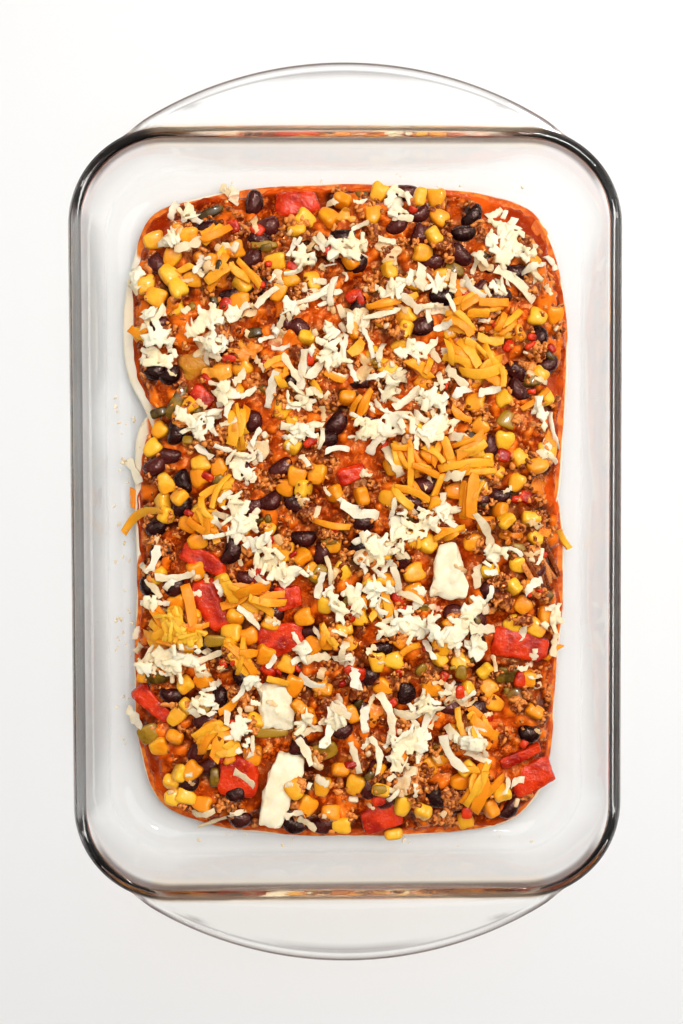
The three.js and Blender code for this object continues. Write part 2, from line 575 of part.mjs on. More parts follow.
// The small pieces, largest kind first: one that would cross a piece already there is skipped
function smallPieces(largePieces) {
  const draw = seeded(11);
  const taken = largePieces.flatMap(({ place: [x, y, length, width, , turn] }) => (
    circlesOf(x, y, length, width, turn)
  ));
  const pieces = [];
  const add = (make, [x, y, turn], [length, width, thickness], { sunk, closeness }) => {
    const circles = circlesOf(x, y, length, width, turn);
    const crosses = circles.some((a) => taken.some((b) => (
      Math.hypot(a.x - b.x, a.y - b.y) < closeness * (a.radius + b.radius)
    )));
    if (crosses) return;
    taken.push(...circles);
    const z = restHeight(x, y, thickness, sunk);
    const grow = smallest + sizeSpread * draw();
    const size = [length * grow, width * grow, thickness];
    pieces.push(placed(make(size), [x, y, z], turn, tiltSpread * (draw() - 0.5)));
  };

  whiteHeaps.forEach(([x, y, length, width, turn]) => {
    add((size) => moundGeometry(size, draw), [x, y, turn], [length, width, mound.thickness], mound);
  });
  beans.forEach((place) => add(beanGeometry, place, bean.size, bean));
  kernels.forEach((place) => add((size) => blockGeometry(size, kernel.pinch), place, kernel.size, kernel));
  greenPeppers.forEach(([x, y, length, width, turn]) => {
    const size = [length, width, greenPepper.thickness];
    add((sized) => blockGeometry(sized, greenPepper.pinch), [x, y, turn], size, greenPepper);
  });
  cheddarBunches.forEach(([x, y, length, width, turn]) => [-1, 1].forEach((side) => {
    const shift = (side * width) / 4;
    const [dx, dy] = [-shift * Math.sin(turn * degrees), shift * Math.cos(turn * degrees)];
    const size = [length * shred.lengthShare, shred.width, shred.thickness];
    add((sized) => blockGeometry(sized, 0), [x + dx, y + dy, turn + shred.splay * side], size, shred);
  }));
  const { size, step, shake, reachX, reachY } = crumb;
  for (let x = -reachX; x <= reachX; x += step) {
    for (let y = -reachY; y <= reachY; y += step) {
      const shaken = [x + shake * (draw() - 0.5), y + shake * (draw() - 0.5), 360 * draw()];
      add(() => new THREE.OctahedronGeometry(size / 2), shaken, [size, size, size], crumb);
    }
  }
  return pieces;
}

function fillingGeometry(tortillaSpaces, largePieces) {
  const pockets = largePieces.map(({ place, seed }) => solidOf(largePiece(place, seed, gap)));
  const pieces = smallPieces(largePieces).map(solidOf);
  const whole = wasm.Manifold.union([heapCore(tortillaSpaces), ...pieces]);
  return geometryOf(mainBody(whole.subtract(wasm.Manifold.union([...pockets, ...tortillaSpaces]))));
}

// Putting it together
function meshNamed(name, geometry, look) {
  const mesh = new THREE.Mesh(geometry, new THREE.MeshStandardMaterial(look));
  mesh.name = name;
  return mesh;
}

function largePieceList() {
  const kinds = [
    ['tomato', tomatoPieces, colours.tomato, 100],
    ['pepper', pepperPieces, colours.pepper, 200],
    ['cheese_chunk', cheesePieces, colours.cheese, 300],
  ];
  return kinds.flatMap(([name, places, look, seed]) => places.map((place, i) => (
    { name: `${name}_${i + 1}`, place, look, seed: seed + i }
  )));
}

const backCentre = [0, 50];
const frontCentre = [0, -42];
const frontSpace = tortillaSolid('front', frontEdge, frontCentre, gap);
const backSpace = tortillaSolid('back', backEdge, backCentre, gap);
const largePieces = largePieceList();

const casserole = new THREE.Group();
casserole.add(meshNamed('dish', dishGeometry(), colours.glass));
const frontTortilla = tortillaSolid('front', frontEdge, frontCentre);
const backTortilla = mainBody(tortillaSolid('back', backEdge, backCentre).subtract(frontSpace));
casserole.add(meshNamed('tortilla_front', geometryOf(frontTortilla), colours.tortilla));
casserole.add(meshNamed('tortilla_back', geometryOf(backTortilla), colours.tortilla));
casserole.add(meshNamed('filling', fillingGeometry([frontSpace, backSpace], largePieces), colours.filling));
largePieces.forEach(({ name, place, look, seed }) => {
  casserole.add(meshNamed(name, largePiece(place, seed), look));
});

export default casserole;
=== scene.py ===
# Looks of an enchilada casserole in its clear glass baking dish.
# Lengths in this script are millimetres in the frame's axes, and a mesh is scaled to metres when it is made.
# Only the lamps and the table are in metres.
import math
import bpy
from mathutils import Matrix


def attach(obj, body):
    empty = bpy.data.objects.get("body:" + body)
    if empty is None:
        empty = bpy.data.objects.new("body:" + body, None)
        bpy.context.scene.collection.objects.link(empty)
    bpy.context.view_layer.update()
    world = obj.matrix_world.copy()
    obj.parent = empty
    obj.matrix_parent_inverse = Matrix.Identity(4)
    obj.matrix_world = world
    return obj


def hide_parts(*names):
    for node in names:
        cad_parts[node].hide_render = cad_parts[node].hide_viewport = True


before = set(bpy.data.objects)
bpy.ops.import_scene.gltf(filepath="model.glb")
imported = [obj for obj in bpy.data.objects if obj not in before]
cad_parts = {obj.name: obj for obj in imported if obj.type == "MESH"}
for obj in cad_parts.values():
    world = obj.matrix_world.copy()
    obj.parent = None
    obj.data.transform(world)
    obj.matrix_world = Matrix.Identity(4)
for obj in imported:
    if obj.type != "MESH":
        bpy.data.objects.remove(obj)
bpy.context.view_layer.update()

from types import SimpleNamespace as Named

import bmesh
import bpy
import numpy as np

METRES = 0.001

# Camera: where it stands, how it is turned, and its lens on a 36 mm sensor
camera_sizes = Named(place=(-14.4, 23.1, 666.0), tilt=(-0.0345, -0.0197, -0.0036), lens=50.22)

# World: its colours above and, near the horizon, towards the dish's sides, ends and corners. A heading goes
# from 0, straight to an end, to 1, straight to a side, and a height from 0 at the horizon to 1 overhead.
world_light = Named(
    above=(0.40, 0.395, 0.39, 1), sides=(0.22, 0.22, 0.22, 1), ends=(0.34, 0.20, 0.11, 1),
    corners=(0.015, 0.015, 0.018, 1), seen=(0.93, 0.93, 0.93, 1), mirrored=0.2,
    ends_to=0.003, corners_from=0.03, corners_to=0.75, horizon_to=0.3, above_from=0.7,
)

# Lamps: name, place and size in metres, watts and colour
lamps = [
    ("key", (0.55, 0.45, 1.0), 1.7, 14.0, (1, 0.99, 0.975)),
    ("fill", (-0.6, 0.25, 1.1), 1.8, 4.4, (1, 1, 1)),
    ("glints", (0.3, 0.45, 1.1), 0.16, 6.0, (1, 1, 1)),
]

# Dish and handles, as in the solids
dish = Named(
    half_x=106, half_y=153.6, corner=29.6, height=56, floor=5, wall=4.8,
    wall_lean=6.4, inner_fillet=9, outer_fillet=14, rim=12,
)
handle = Named(
    radius=164.4, centre_y=28.9, top=54.1, underside=49.5, fade_from=84, fade_to=103, bead=4.2, bead_rise=0.9,
)

# Tortillas
tortilla = Named(thickness=1.8, gap=0.35, ramp=9)
overlap_lift = tortilla.thickness + tortilla.gap
back_points = [
    (0, 150.5), (-36, 149), (-66, 144.5), (-88, 136), (-97, 114), (-101, 92), (-99.5, 64), (-90, 44),
    (-74, 0), (-36, -42), (24, -50), (74, -34), (96.5, 0), (101.5, 40), (103, 80), (99, 112), (88, 137),
    (62, 146.5), (32, 149.5),
]
front_points = [
    (20, -150.5), (52, -149), (76, -144.5), (91, -130), (96, -108), (98, -76), (101.5, -36), (99, 6),
    (84, 44), (44, 66), (-10, 70), (-60, 62), (-93, 42), (-96.5, 14), (-96, -30), (-97.5, -74),
    (-95.5, -108), (-86, -134), (-60, -145.5), (-20, -150),
]
back_centre = (0, 50)
front_centre = (0, -42)

# Heap of sauce under the pieces
heap = Named(
    edge_depth=1.6, depth=8.4, slope_from=1.5, slope_to=15, edge_shows=2.2,
    back_edge_shows=5.2, back_edge_angle=147, back_edge_spread=14, lump=0.8,
)

# Height maps: the cells of the rules and of the pile, and the grains of minced meat raised on the pile
rule_cell = 1.5
pile_cell = 0.75
grains = Named(count=5200, seed=12, radii=(1.0, 2.7))

# Black beans: x, y and turn in degrees
bean_size = (11.5, 7.8, 7)
beans = [
    (-41, 141, 80), (-34, 130, 20), (-62, 129, 10), (-38, 124, -30), (-42, 115, 40), (-84, 113, -50),
    (-51, 99, 20), (-85, 86, 10), (-1, 125, 0), (-86, 65, 5), (-79, 63, 30), (-77, 37, 80), (-80, 27, -10),
    (-86, 22, 30), (-73, 15, -75), (-74, 4, 60), (-29, 21, 35), (-34, 6, 30), (-23, 5, -35), (-4, 41, 50),
    (-9, 34, 0), (-42, 42, 80), (-24, 61, 20), (-86, -6, 20), (-52, -17, 70), (-90, -33, -70),
    (-78, -33, 20), (-19, -11, 0), (-11, -18, 80), (-14, -54, 10), (-47, -74, -60), (-66, -60, -50),
    (-44, -29, 0), (-79, -82, 0), (-58, -84, 80), (-64, -94, 20), (-68, -108, 60), (-72, -123, 40),
    (-49, -140, -15), (-24, -143, -20), (-10, -144, 10), (-2, -99, 0), (-22, -105, 75), (24, 131, 50),
    (34, 136, 30), (34, 126, 70), (58, 135, 60), (54, 127, 5), (53, 117, -50), (40, 114, 10), (6, 94, 75),
    (44, 98, 0), (78, 109, 0), (70, 98, 10), (35, 85, 20), (88, 80, 80), (92, 67, 30), (79, 56, -50),
    (36, 13, 0), (30, 5, -20), (70, 8, -10), (65, 30, 80), (8, -4, 0), (6, -14, 60), (66, -36, -45),
    (86, -26, 20), (59, -59, 80), (16, -62, 10), (10, -74, 0), (27, -82, 85), (60, -89, 5), (84, -101, -5),
    (10, -126, -70), (41, -130, -75), (75, -137, 45), (28, 146, 0),
]

# Corn kernels: x, y and turn in degrees
kernel_size = (9.6, 8.3, 5.8)
kernels = [
    (-75, 127, 0), (-70, 125, 0), (-78, 116, 60), (-79, 108, -45), (-75, 102, -60), (-90, 104, 90),
    (-85, 98, -25), (-68, 106, 0), (-55, 118, -40), (-31, 114, 0), (-25, 106, 30), (-7, 134, -40),
    (-1, 141, 80), (-47, 96, 0), (-86, 124, 15), (-84, 38, 45), (-87, 30, 40), (-57, 21, -80),
    (-66, 17, -60), (-83, 5, 20), (-75, 8, -25), (-27, 12, -10), (-22, 17, 80), (-13, 18, 80), (-5, 9, 20),
    (-55, 65, 0), (-81, 14, -70), (-71, -4, -10), (-67, -12, 20), (-20, -19, -50), (-73, -60, 0),
    (-43, -41, -20), (-50, -47, 80), (-52, -54, 0), (-19, -47, 20), (-9, -41, 70), (-1, -53, 80),
    (-15, -60, 60), (-73, -77, -60), (-65, -75, 30), (-77, -92, 50), (-78, -102, 90), (-80, -123, 80),
    (-76, -118, 0), (-79, -130, 0), (-66, -133, -10), (-3, -117, 60), (-11, -125, 80), (-18, -134, 60),
    (-7, -137, -15), (-2, -143, 0), (4, -124, 70), (16, 146, 60), (13, 135, 80), (34, 143, 0),
    (42, 143, 90), (43, 134, -40), (40, 125, 10), (84, 114, 20), (53, 101, 80), (44, 107, 0), (96, 90, 90),
    (20, 110, 0), (4, 83, 20), (1, 52, 80), (59, 50, 0), (72, 52, -70), (61, 39, 40), (72, 33, 80),
    (79, 25, -55), (87, 22, 30), (78, 14, 60), (7, 8, 0), (20, 7, -20), (70, 1, 10), (38, 27, -30),
    (88, 62, 50), (50, 10, 0), (72, -3, -40), (84, -3, 80), (31, -36, 10), (31, -27, 20), (18, -31, 70),
    (81, -42, 50), (76, -34, 60), (79, -23, 10), (6, -47, 20), (22, -67, 0), (42, -66, 20), (52, -68, 40),
    (83, -76, 0), (65, -80, -50), (39, -80, -60), (91, -47, 20), (86, -91, 60), (26, -134, 70),
    (35, -137, 80), (22, -149, 90), (55, -142, -70), (66, -136, 30), (71, -128, -70), (52, -123, 0),
]

# Heaps of grated white cheese: x, y, length, width and turn in degrees
white_heaps = [
    (-71, 137, 8, 5, -40), (-95, 104, 16, 7, 80), (-59, 87, 26, 16, 15), (-84, 81, 12, 9, 20),
    (-20, 115, 13, 9, -60), (-5, 117, 14, 10, 10), (-7, 84, 12, 7, -60), (-84, 72, 17, 13, 0),
    (-60, 75, 9, 8, 0), (-54, 54, 13, 10, 0), (-69, 40, 22, 9, -55), (-20, 52, 12, 8, 0),
    (-5, 71, 14, 11, 10), (-48, 23, 15, 9, -50), (-49, 4, 13, 11, -30), (-19, 37, 14, 7, -10),
    (-48, -5, 18, 13, 0), (-35, -22, 14, 12, 30), (-27, -27, 18, 8, 10), (-4, -42, 15, 8, -70),
    (-76, -66, 24, 16, 0), (-90, -40, 9, 7, 0), (-43, -75, 8, 7, 0), (-63, -85, 11, 9, 0),
    (-48, -98, 24, 10, -85), (-19, -96, 12, 8, 70), (-4, -94, 9, 8, 0), (24, 141, 16, 13, 0),
    (5, 121, 16, 12, 60), (43, 103, 12, 6, 0), (74, 122, 30, 17, -75), (22, 101, 13, 10, 30),
    (33, 74, 18, 10, 20), (20, 56, 12, 8, 80), (40, 51, 15, 13, 0), (22, 41, 19, 13, -10),
    (8, 37, 13, 11, 0), (42, 39, 18, 10, 10), (89, 45, 13, 6, -80), (46, 1, 16, 6, 0), (25, -7, 13, 18, 0),
    (37, -5, 16, 10, 0), (67, -19, 12, 11, 0), (14, -17, 14, 14, 0), (15, -34, 16, 11, 70),
    (3, -38, 14, 10, -70), (32, -50, 20, 16, -20), (20, -53, 12, 10, 30), (46, -54, 19, 15, -20),
    (57, -44, 16, 10, 60), (60, -60, 12, 9, 70), (95, -48, 14, 6, 60), (24, -109, 20, 11, 75),
    (33, -107, 22, 11, 80), (56, -104, 16, 8, -10), (36, -88, 14, 8, 0), (-88, 90, 8, 5, 0),
    (-25, 93, 8, 6, 0), (-77, 123, 6, 4, 0), (-60, 45, 10, 8, 60), (-38, -11.5, 7, 7, 0),
    (-92, -69, 8, 5, 0), (-20, -62, 11, 7, 70), (70, 103, 10, 6, 30),
]

# The share of a white heap's length and width within which its shreds have their middles
shred_share = 0.87

# Half melted patches of white cheese: x, y, length, width and turn in degrees
melted_patches = [
    (43, 93, 10, 5, 0), (20, 62, 9, 5, 0), (27, 2, 12, 5, 0), (26, -123, 12, 8, 60), (36, -88, 12, 7, 20),
    (20, 118, 12, 9, 30), (4, 90, 12, 8, -20), (9, 67, 12, 8, 60), (-62, 75, 12, 8, 10),
    (-60, 110, 10, 7, 0), (92, 28, 8, 6, 80), (-30, 80, 12, 8, 30), (-12, 100, 14, 8, 10),
    (14, -17, 16, 12, 0), (2, -70, 10, 7, 80), (50, -84, 12, 8, 10), (-38, 30, 12, 8, 20),
    (64, 111, 9, 7, 0),
]

# Single strands of pale cheese: x and y of both ends, and the width
pale_strands = [
    (-76, 119, -64, 122.5, 4), (-40, 93, -30, 102, 3), (-22, 95, -4, 105, 3), (-6, 94, -4, 107, 3),
    (-79, 134, -76, 142, 3.5), (-50, 141, -50, 149, 5), (-56, 40, -45, 45, 3), (-47, 53, -40, 57, 3),
    (-35, 48, -31, 64, 4), (-50, 59, -45, 65, 3.5), (-20, 56, -18, 74, 3.5), (-28, 72, -20, 60, 3),
    (-17, 61, -10, 69, 4), (-29, 40, -14, 37, 4), (-24, 32, -16, 40, 3.5), (-9, 28, 2, 29, 3),
    (-3, 7, 2, 1, 3), (-64, -10, -54, -9, 2), (-44, -10, -41, -17, 3), (-85, -14, -89, -26, 4),
    (-94, -23, -88, -27, 3), (-86, -28, -68, -26, 3.5), (-82, -34, -76, -29, 3), (-90, -29, -84, -38, 3.5),
    (-59, -30, -56, -37, 3), (-13, -38, -10, -26, 3.5), (-9, -19, -7, -32, 2), (-49, -42, -39, -52, 3),
    (-68, -67, -56, -62, 3), (-20, -67, -7, -65, 4), (-21, -73, -10, -78, 3.5), (-36, -70, -32, -64, 3),
    (-51, -117, -42, -124, 3.5), (-71, -138, -60, -135, 3), (-22, -102, -16, -114, 3.5),
    (-7, -88, -11, -106, 4), (-7, -87, 2, -92, 4), (-28, -138, -20, -136, 3), (-22, -139, -14, -146, 3),
    (35, 112, 34, 101, 5), (54, 107, 63, 97, 3), (68, 110, 86, 96, 4.5), (80, 108, 92, 113, 3),
    (92, 117, 97, 111, 3), (25, 98, 34, 91, 4), (8, 88, 25, 92, 2.5), (40, 83, 48, 86, 3),
    (8, 84, 12, 76, 2), (11, 78, 13, 70, 2.5), (18, 77, 15, 68, 2.5), (22, 48, 34, 57, 4),
    (46, 66, 55, 57, 4), (60, 54, 70, 56, 4), (11, 27, 19, 38, 5), (18, 30, 25, 17, 4.5),
    (47, 35, 57, 32, 4), (45, 17, 53, 17, 5), (94, 46, 98, 29, 2), (-2, 5, 15, -1, 5), (49, 52, 56, 56, 4),
    (58, 0, 66, -15, 4), (60, -24, 60, -34, 4), (21, -24, 24, -36, 3), (24, -36, 35, -41, 3),
    (56, -52, 68, -53, 5), (48, -57, 51, -65, 3), (36, -58, 40, -66, 3), (81, -36, 89, -30, 4),
    (0, -58, -2, -69, 4), (4, -70, 4, -79, 4), (9, -88, 9, -100, 4.5), (15, -82, 20, -104, 4),
    (11, -102, 14, -118, 3), (2, -104, 6, -118, 3), (22, -90, 35, -91, 4), (40, -88, 35, -100, 4),
    (44, -101, 54, -117, 4), (46, -97, 52, -104, 4), (50, -103, 63, -106, 4), (56, -97, 59, -106, 3),
    (55, -109, 65, -114, 4), (94, -42, 98, -52, 3), (95, -66, 98, -56, 3), (-100, 25, -94, 14, 4),
    (-101, -90, -93, -97, 4), (-69, -146, -51, -137, 1.5), (-95, -52, -97, -58, 3), (-94, -60, -97, -64, 3),
    (-56, 150, -52, 146, 4),
]

# Single strands of cheddar: x and y of both ends, and the width
cheddar_strands = [
    (-64, 122.5, -51, 129.5, 3.5), (-62, 104, -52, 111, 5), (-48, 114, -38, 102, 3), (-97, 84, -86, 79, 4),
    (-95, 79, -87, 84, 4), (-75, 109, -68, 112, 3), (-36, 66, -27, 71, 3), (-31, 64, -27, 57, 4),
    (-52, 47, -51, 31, 5), (-49, 50, -46, 30, 2), (-52, 18, -60, 3, 2.5), (-65, 8, -60, -2, 3),
    (-9, 64, 0, 60, 3), (-15, 60, -11, 52, 3), (-71, -2, -58, -8, 4), (-66, 2, -62, -9, 4),
    (-14, -3, 2, -6, 3), (-54, -38, -34, -32, 5), (-54, -30, -50, -40, 5), (-42, -38, -27, -40, 4),
    (-73, -32, -69, -50, 5), (-89, -49, -72, -58, 4), (-80, -47, -66, -60, 4), (-88, -56, -72, -50, 4),
    (-76, -46, -73, -62, 4), (-54, -58, -41, -73, 4), (-48, -62, -40, -63, 4), (-11, -50, -4, -60, 3.5),
    (-36, -75, -26, -77, 3), (-69, -101, -56, -94, 4), (-60, -111, -58, -95, 5), (-60, -108, -48, -106, 5),
    (-58, -90, -50, -84, 4), (10, 93, 25, 96, 3), (25, 97, 33, 99, 3), (52, 92, 60, 97, 4),
    (60, 95, 74, 95, 4), (55, 90, 65, 90, 4), (46, 88, 57, 80, 4), (70, 84, 80, 92, 3), (68, 82, 72, 90, 3),
    (2, 72, 8, 78, 5), (28, 69, 39, 61, 4), (36, 63, 39, 70, 3), (46, 78, 48, 67, 3), (51, 78, 60, 66, 4.5),
    (63, 77, 69, 66, 3), (52, 64, 71, 66, 5), (70, 66, 71, 57, 3), (60, 80, 72, 78, 4), (12, 56, 6, 42, 3),
    (80, 47, 92, 56, 3), (48, 48, 57, 42, 3.5), (50, 27, 63, 32, 4), (50, 26, 62, 36, 5),
    (44, 35, 48, 22, 4), (42, 20, 66, 23, 4), (35, 30, 44, 23, 3), (21, 30, 29, 30, 3), (29, 30, 29, 12, 3),
    (30, 22, 42, 17, 3), (58, 18, 56, -2, 5), (22, 12, 38, 6, 3.5), (44, 18, 40, 8, 3),
    (40, -12, 54, -6, 3), (33, -11, 33, -16, 2), (11, -48, 17, -40, 3), (17, -34, 20, -48, 4),
    (25, -64, 34, -60, 3), (92, -68, 101, -62, 2), (57, -93, 69, -102, 5), (51, -89, 54, -102, 3),
    (57, -97, 63, -108, 3), (65, -113, 54, -133, 3.5), (63, -121, 58, -136, 6), (53, -117, 60, -116, 3),
    (-97.5, 11.5, -97.5, 2.5, 3), (-102, -9, -83, 2, 4), (98, -8, 104, -17, 3),
]

# Bunches of shredded cheddar: x, y, length, width and turn in degrees
cheddar_bunches = [
    (-57, 126, 14, 4, 28), (-56, 107, 12, 9, 30), (-43, 108, 15, 4, -50), (-91, 82, 12, 7, -20),
    (-30, 65, 12, 10, 40), (-51, 40, 17, 7, -85), (-56, 9, 18, 6, 62), (-64, -4, 14, 11, -20),
    (-44, -35, 20, 8, 15), (-35, -39, 15, 5, -8), (-79, -51, 22, 13, -25), (-47, -66, 19, 7, -50),
    (-8, -55, 11, 4, -55), (-62, -100, 14, 12, 30), (-54, -107, 12, 7, 0), (18, 94, 15, 4, 10),
    (58, 93, 24, 8, 5), (52, 84, 14, 7, -38), (74, 87, 12, 8, 45), (54, 71, 16, 10, -50),
    (66, 70, 15, 8, -60), (62, 64, 19, 6, 5), (33, 65, 14, 5, -36), (9, 49, 15, 4, 65),
    (56, 31, 15, 10, 30), (46, 27, 15, 6, -70), (54, 21, 24, 5, 6), (27, 24, 18, 8, -75),
    (36, 19, 13, 5, -22), (57, 8, 20, 6, 85), (30, 9, 17, 4, -20), (46, -9, 14, 5, 23),
    (17, -42, 14, 6, -70), (60, -100, 18, 10, -50), (60, -124, 22, 9, 62),
]

# Cheddar that has melted to a film: x, y, length, width and turn in degrees
cheddar_films = [
    (88, 10, 11, 7, 80), (75, -11, 10, 6, 0), (92, -10, 9, 6, 70), (-45, 73, 15, 10, 20),
    (-57, 63, 11, 7, 0), (-78, 93, 10, 6, 40), (-84, -64, 12, 8, 0), (-12, -79, 13, 8, 20),
    (13, -92, 10, 6, 70), (90, 128, 10, 6, -50), (93, 34, 8, 6, 90), (2, 134, 9, 6, 0),
]

# Heaps of torn cheddar, and the large piece of meat: x, y, length, width and turn in degrees
cheddar_heaps = [(-79, -50, 22, 13, -25), (-70, -55, 10, 8, 0)]
shredded_meat = (88, -24, 24, 12, -60)

# Green pepper: x, y, length, width and turn in degrees
green_peppers = [
    (-61, 136, 14, 5, 25), (-36, 121, 12, 4, 0), (-41, 82, 9, 5, 10), (-76, 51, 17, 6, 62),
    (-84, 46, 8, 5, 20), (-57, 32, 13, 7, 60), (-7, -12, 8, 4, 0), (-12, -27, 9, 7, 60),
    (-84, -46, 7, 8, 0), (-59, -57, 10, 6, 0), (-86, -74, 11, 7, 0), (-90, -100, 10, 9, 30),
    (-10, -108, 12, 9, 20), (8, 145, 6, 4, 0), (50, 110, 9, 6, -20), (12, 101, 6, 4, 20),
    (74, 42, 9, 9, -30), (78, -17, 9, 8, 0), (74, -74, 11, 8, 0), (78, -84, 9, 8, 30),
    (-34, -100, 16, 5, 0), (-65, -88, 7, 6, 30), (-60, -120, 9, 5, 90), (85, 60, 8, 6, 0),
    (44, -108, 8, 6, 20),
]

# Larger pieces: x, y, length, width, height, turn, how far the top stands proud, pinch
tomato_pieces = [
    (-21, 140.5, 20, 11, 8, 2, 3.2, 0.1), (-64.5, 53.5, 11, 9, 7, -40, 2.6, 0.3),
    (-64, -21, 23, 10, 8, -28, 3.2, 0.3), (-61.5, -41.5, 25, 13, 9, -64, 3.6, 0.15),
    (-29, -57, 22, 18, 9, 15, 4, 0.45), (80, -60.5, 26, 15, 9, -14, 4.2, 0.3),
    (86, -122, 22, 13, 8, 26, 4.2, 0.05), (80, -111.6, 20, 5.6, 8, 24, 3.6, 0.2),
    (16.5, -140, 19, 13, 8, 14, 3.4, 0.15), (-49, -120, 18, 19, 9, -8, 3.8, 0.1),
    (-88, -87, 21, 9, 8, -43, 3.8, 0.4), (3, 18, 13, 9, 7, 20, 2.6, 0.3),
    (-26, -38, 12, 12, 7, 10, 2.4, 0.2),
]
pepper_pieces = [(-68, 67.5, 13, 12.5, 7, 20, 2.6, 0.15)]
cheese_pieces = [
    (47, -26, 25, 19, 8, 92, 5, 0.5), (-32, -88, 21, 17, 8, -86, 5, 0.1),
    (-30, -126, 34, 15, 9, -107, 5.4, 0.25),
]

# Cheeses and onion: material, light and dark tone, stain, roughness, share of light let in, depth of relief
cheese_looks = {
    "white": ("white_cheese", (0.97, 0.87, 0.66), (0.95, 0.78, 0.51), (-0.6, 0.9, 0.5), 0.5, 0.35, 0.15),
    "pale": ("pale_cheese", (0.95, 0.84, 0.64), (0.87, 0.68, 0.43), (-0.4, 1.1, 0.5), 0.25, 0.3, 0.25),
    "cheddar": ("cheddar", (1.0, 0.47, 0.032), (0.97, 0.31, 0.008), (-0.4, 0.8, 0.4), 0.42, 0.3, 0.15),
    "melted": ("melted_cheese", (0.97, 0.81, 0.57), (0.88, 0.55, 0.26), (-0.2, 1.6, 0.7), 0.2, 0.3, 0.25),
    "melted_cheddar": (
        "melted_cheddar", (0.98, 0.40, 0.045), (0.84, 0.22, 0.012), (-0.4, 1.2, 0.7), 0.22, 0.3, 0.25,
    ),
    "onion": ("cooked_onion", (0.92, 0.74, 0.52), (0.78, 0.46, 0.20), (-0.6, 0.8, 0.7), 0.25, 0.4, 0.2),
    "cheddar_flake": (
        "torn_cheddar", (1.0, 0.56, 0.05), (0.97, 0.38, 0.014), (-0.4, 0.8, 0.3), 0.42, 0.35, 0.15,
    ),
}

# Places where the sauce lies smooth, with no meat: x, y and radius
smooth_sauce = [
    (-88, 130, 9), (-82, 136, 6), (66, 140, 7), (78, 137, 8), (88, 131, 8), (96, 118, 5), (97, 30, 5),
    (95, 10, 5), (96, 58, 4), (-90, -112, 5), (-88, -124, 6), (-82, -134, 5), (92, -30, 4),
]


# Small mathematics
def smoothstep(low, high, value):
    t = np.clip((value - low) / (high - low), 0, 1)
    return t * t * (3 - 2 * t)


def lumps(points, size, seed):
    """A smooth uneven number from about -1 to 1 at each point, with lumps of about this size."""
    waves = 7
    draw = np.random.default_rng(seed)
    directions = draw.normal(size=(waves, points.shape[-1]))
    directions /= np.linalg.norm(directions, axis=1, keepdims=True)
    stretch = draw.uniform(0.7, 1.5, waves)
    phases = draw.uniform(0, 2 * math.pi, waves)
    total = sum(
        np.sin(points @ direction * (math.pi / size * factor) + phase)
        for direction, factor, phase in zip(directions, stretch, phases)
    )
    return total / math.sqrt(waves)


def turned(points, degrees, axis=2):
    """Points turned about one of the axes."""
    angle = math.radians(degrees)
    a, b = [(1, 2), (2, 0), (0, 1)][axis]
    out = points.copy()
    out[:, a] = points[:, a] * math.cos(angle) - points[:, b] * math.sin(angle)
    out[:, b] = points[:, a] * math.sin(angle) + points[:, b] * math.cos(angle)
    return out


# Outlines and heights, by the same rules as the solids
def smooth_outline(points, count):
    """A smooth closed curve through a few points."""
    points = np.array(points, float)
    number = len(points)
    curve = []
    for i in range(count):
        k, t = divmod(i * number / count, 1)
        p0, p1, p2, p3 = (points[(int(k) + j) % number] for j in (-1, 0, 1, 2))
        d0, d1, d2 = (math.sqrt(math.dist(a, b)) for a, b in ((p0, p1), (p1, p2), (p2, p3)))
        start = ((p1 - p0) / d0 - (p2 - p0) / (d0 + d1) + (p2 - p1) / d1) * d1
        end = ((p2 - p1) / d1 - (p3 - p1) / (d1 + d2) + (p3 - p2) / d2) * d1
        curve.append(
            (2 * t**3 - 3 * t**2 + 1) * p1 + (t**3 - 2 * t**2 + t) * start
            + (3 * t**2 - 2 * t**3) * p2 + (t**3 - t**2) * end
        )
    return np.array(curve)


def inside_distance(edge, x, y):
    """Distance from points to an outline, positive inside."""
    ax, ay = edge.T
    ex, ey = (np.roll(edge, -1, axis=0) - edge).T
    px = x[..., None] - ax
    py = y[..., None] - ay
    t = np.clip((px * ex + py * ey) / (ex**2 + ey**2), 0, 1)
    nearest = np.sqrt(((px - t * ex) ** 2 + (py - t * ey) ** 2).min(axis=-1))
    straddles = (py < 0) != (py < ey)
    left = px < py * ex / np.where(ey == 0, 1e-9, ey)
    within = (straddles & left).sum(axis=-1) % 2 == 1
    return np.where(within, nearest, -nearest)


ANGLES = np.linspace(0, 2 * math.pi, 721)


def reaches(edge, centre):
    """How far an outline lies from a centre, at each of the angles."""
    a = edge - np.array(centre)
    b = np.roll(a, -1, axis=0)
    dx, dy = np.cos(ANGLES)[:, None], np.sin(ANGLES)[:, None]
    side_a = a[:, 0] * dy - a[:, 1] * dx
    side_b = b[:, 0] * dy - b[:, 1] * dx
    cut = np.where(side_a * side_b > 0, np.nan, side_a / (side_a - side_b + 1e-12))
    along = (a[:, 0] + cut * (b[:, 0] - a[:, 0])) * dx + (a[:, 1] + cut * (b[:, 1] - a[:, 1])) * dy
    return np.nanmax(along, axis=1)


lean_per_mm = dish.wall_lean / (dish.height - dish.floor)
lean = math.atan(lean_per_mm)


def inner_wall_at(z):
    return lean_per_mm * (z - dish.floor)


fillet_u = inner_wall_at(dish.floor + dish.inner_fillet) - dish.inner_fillet / math.cos(lean)


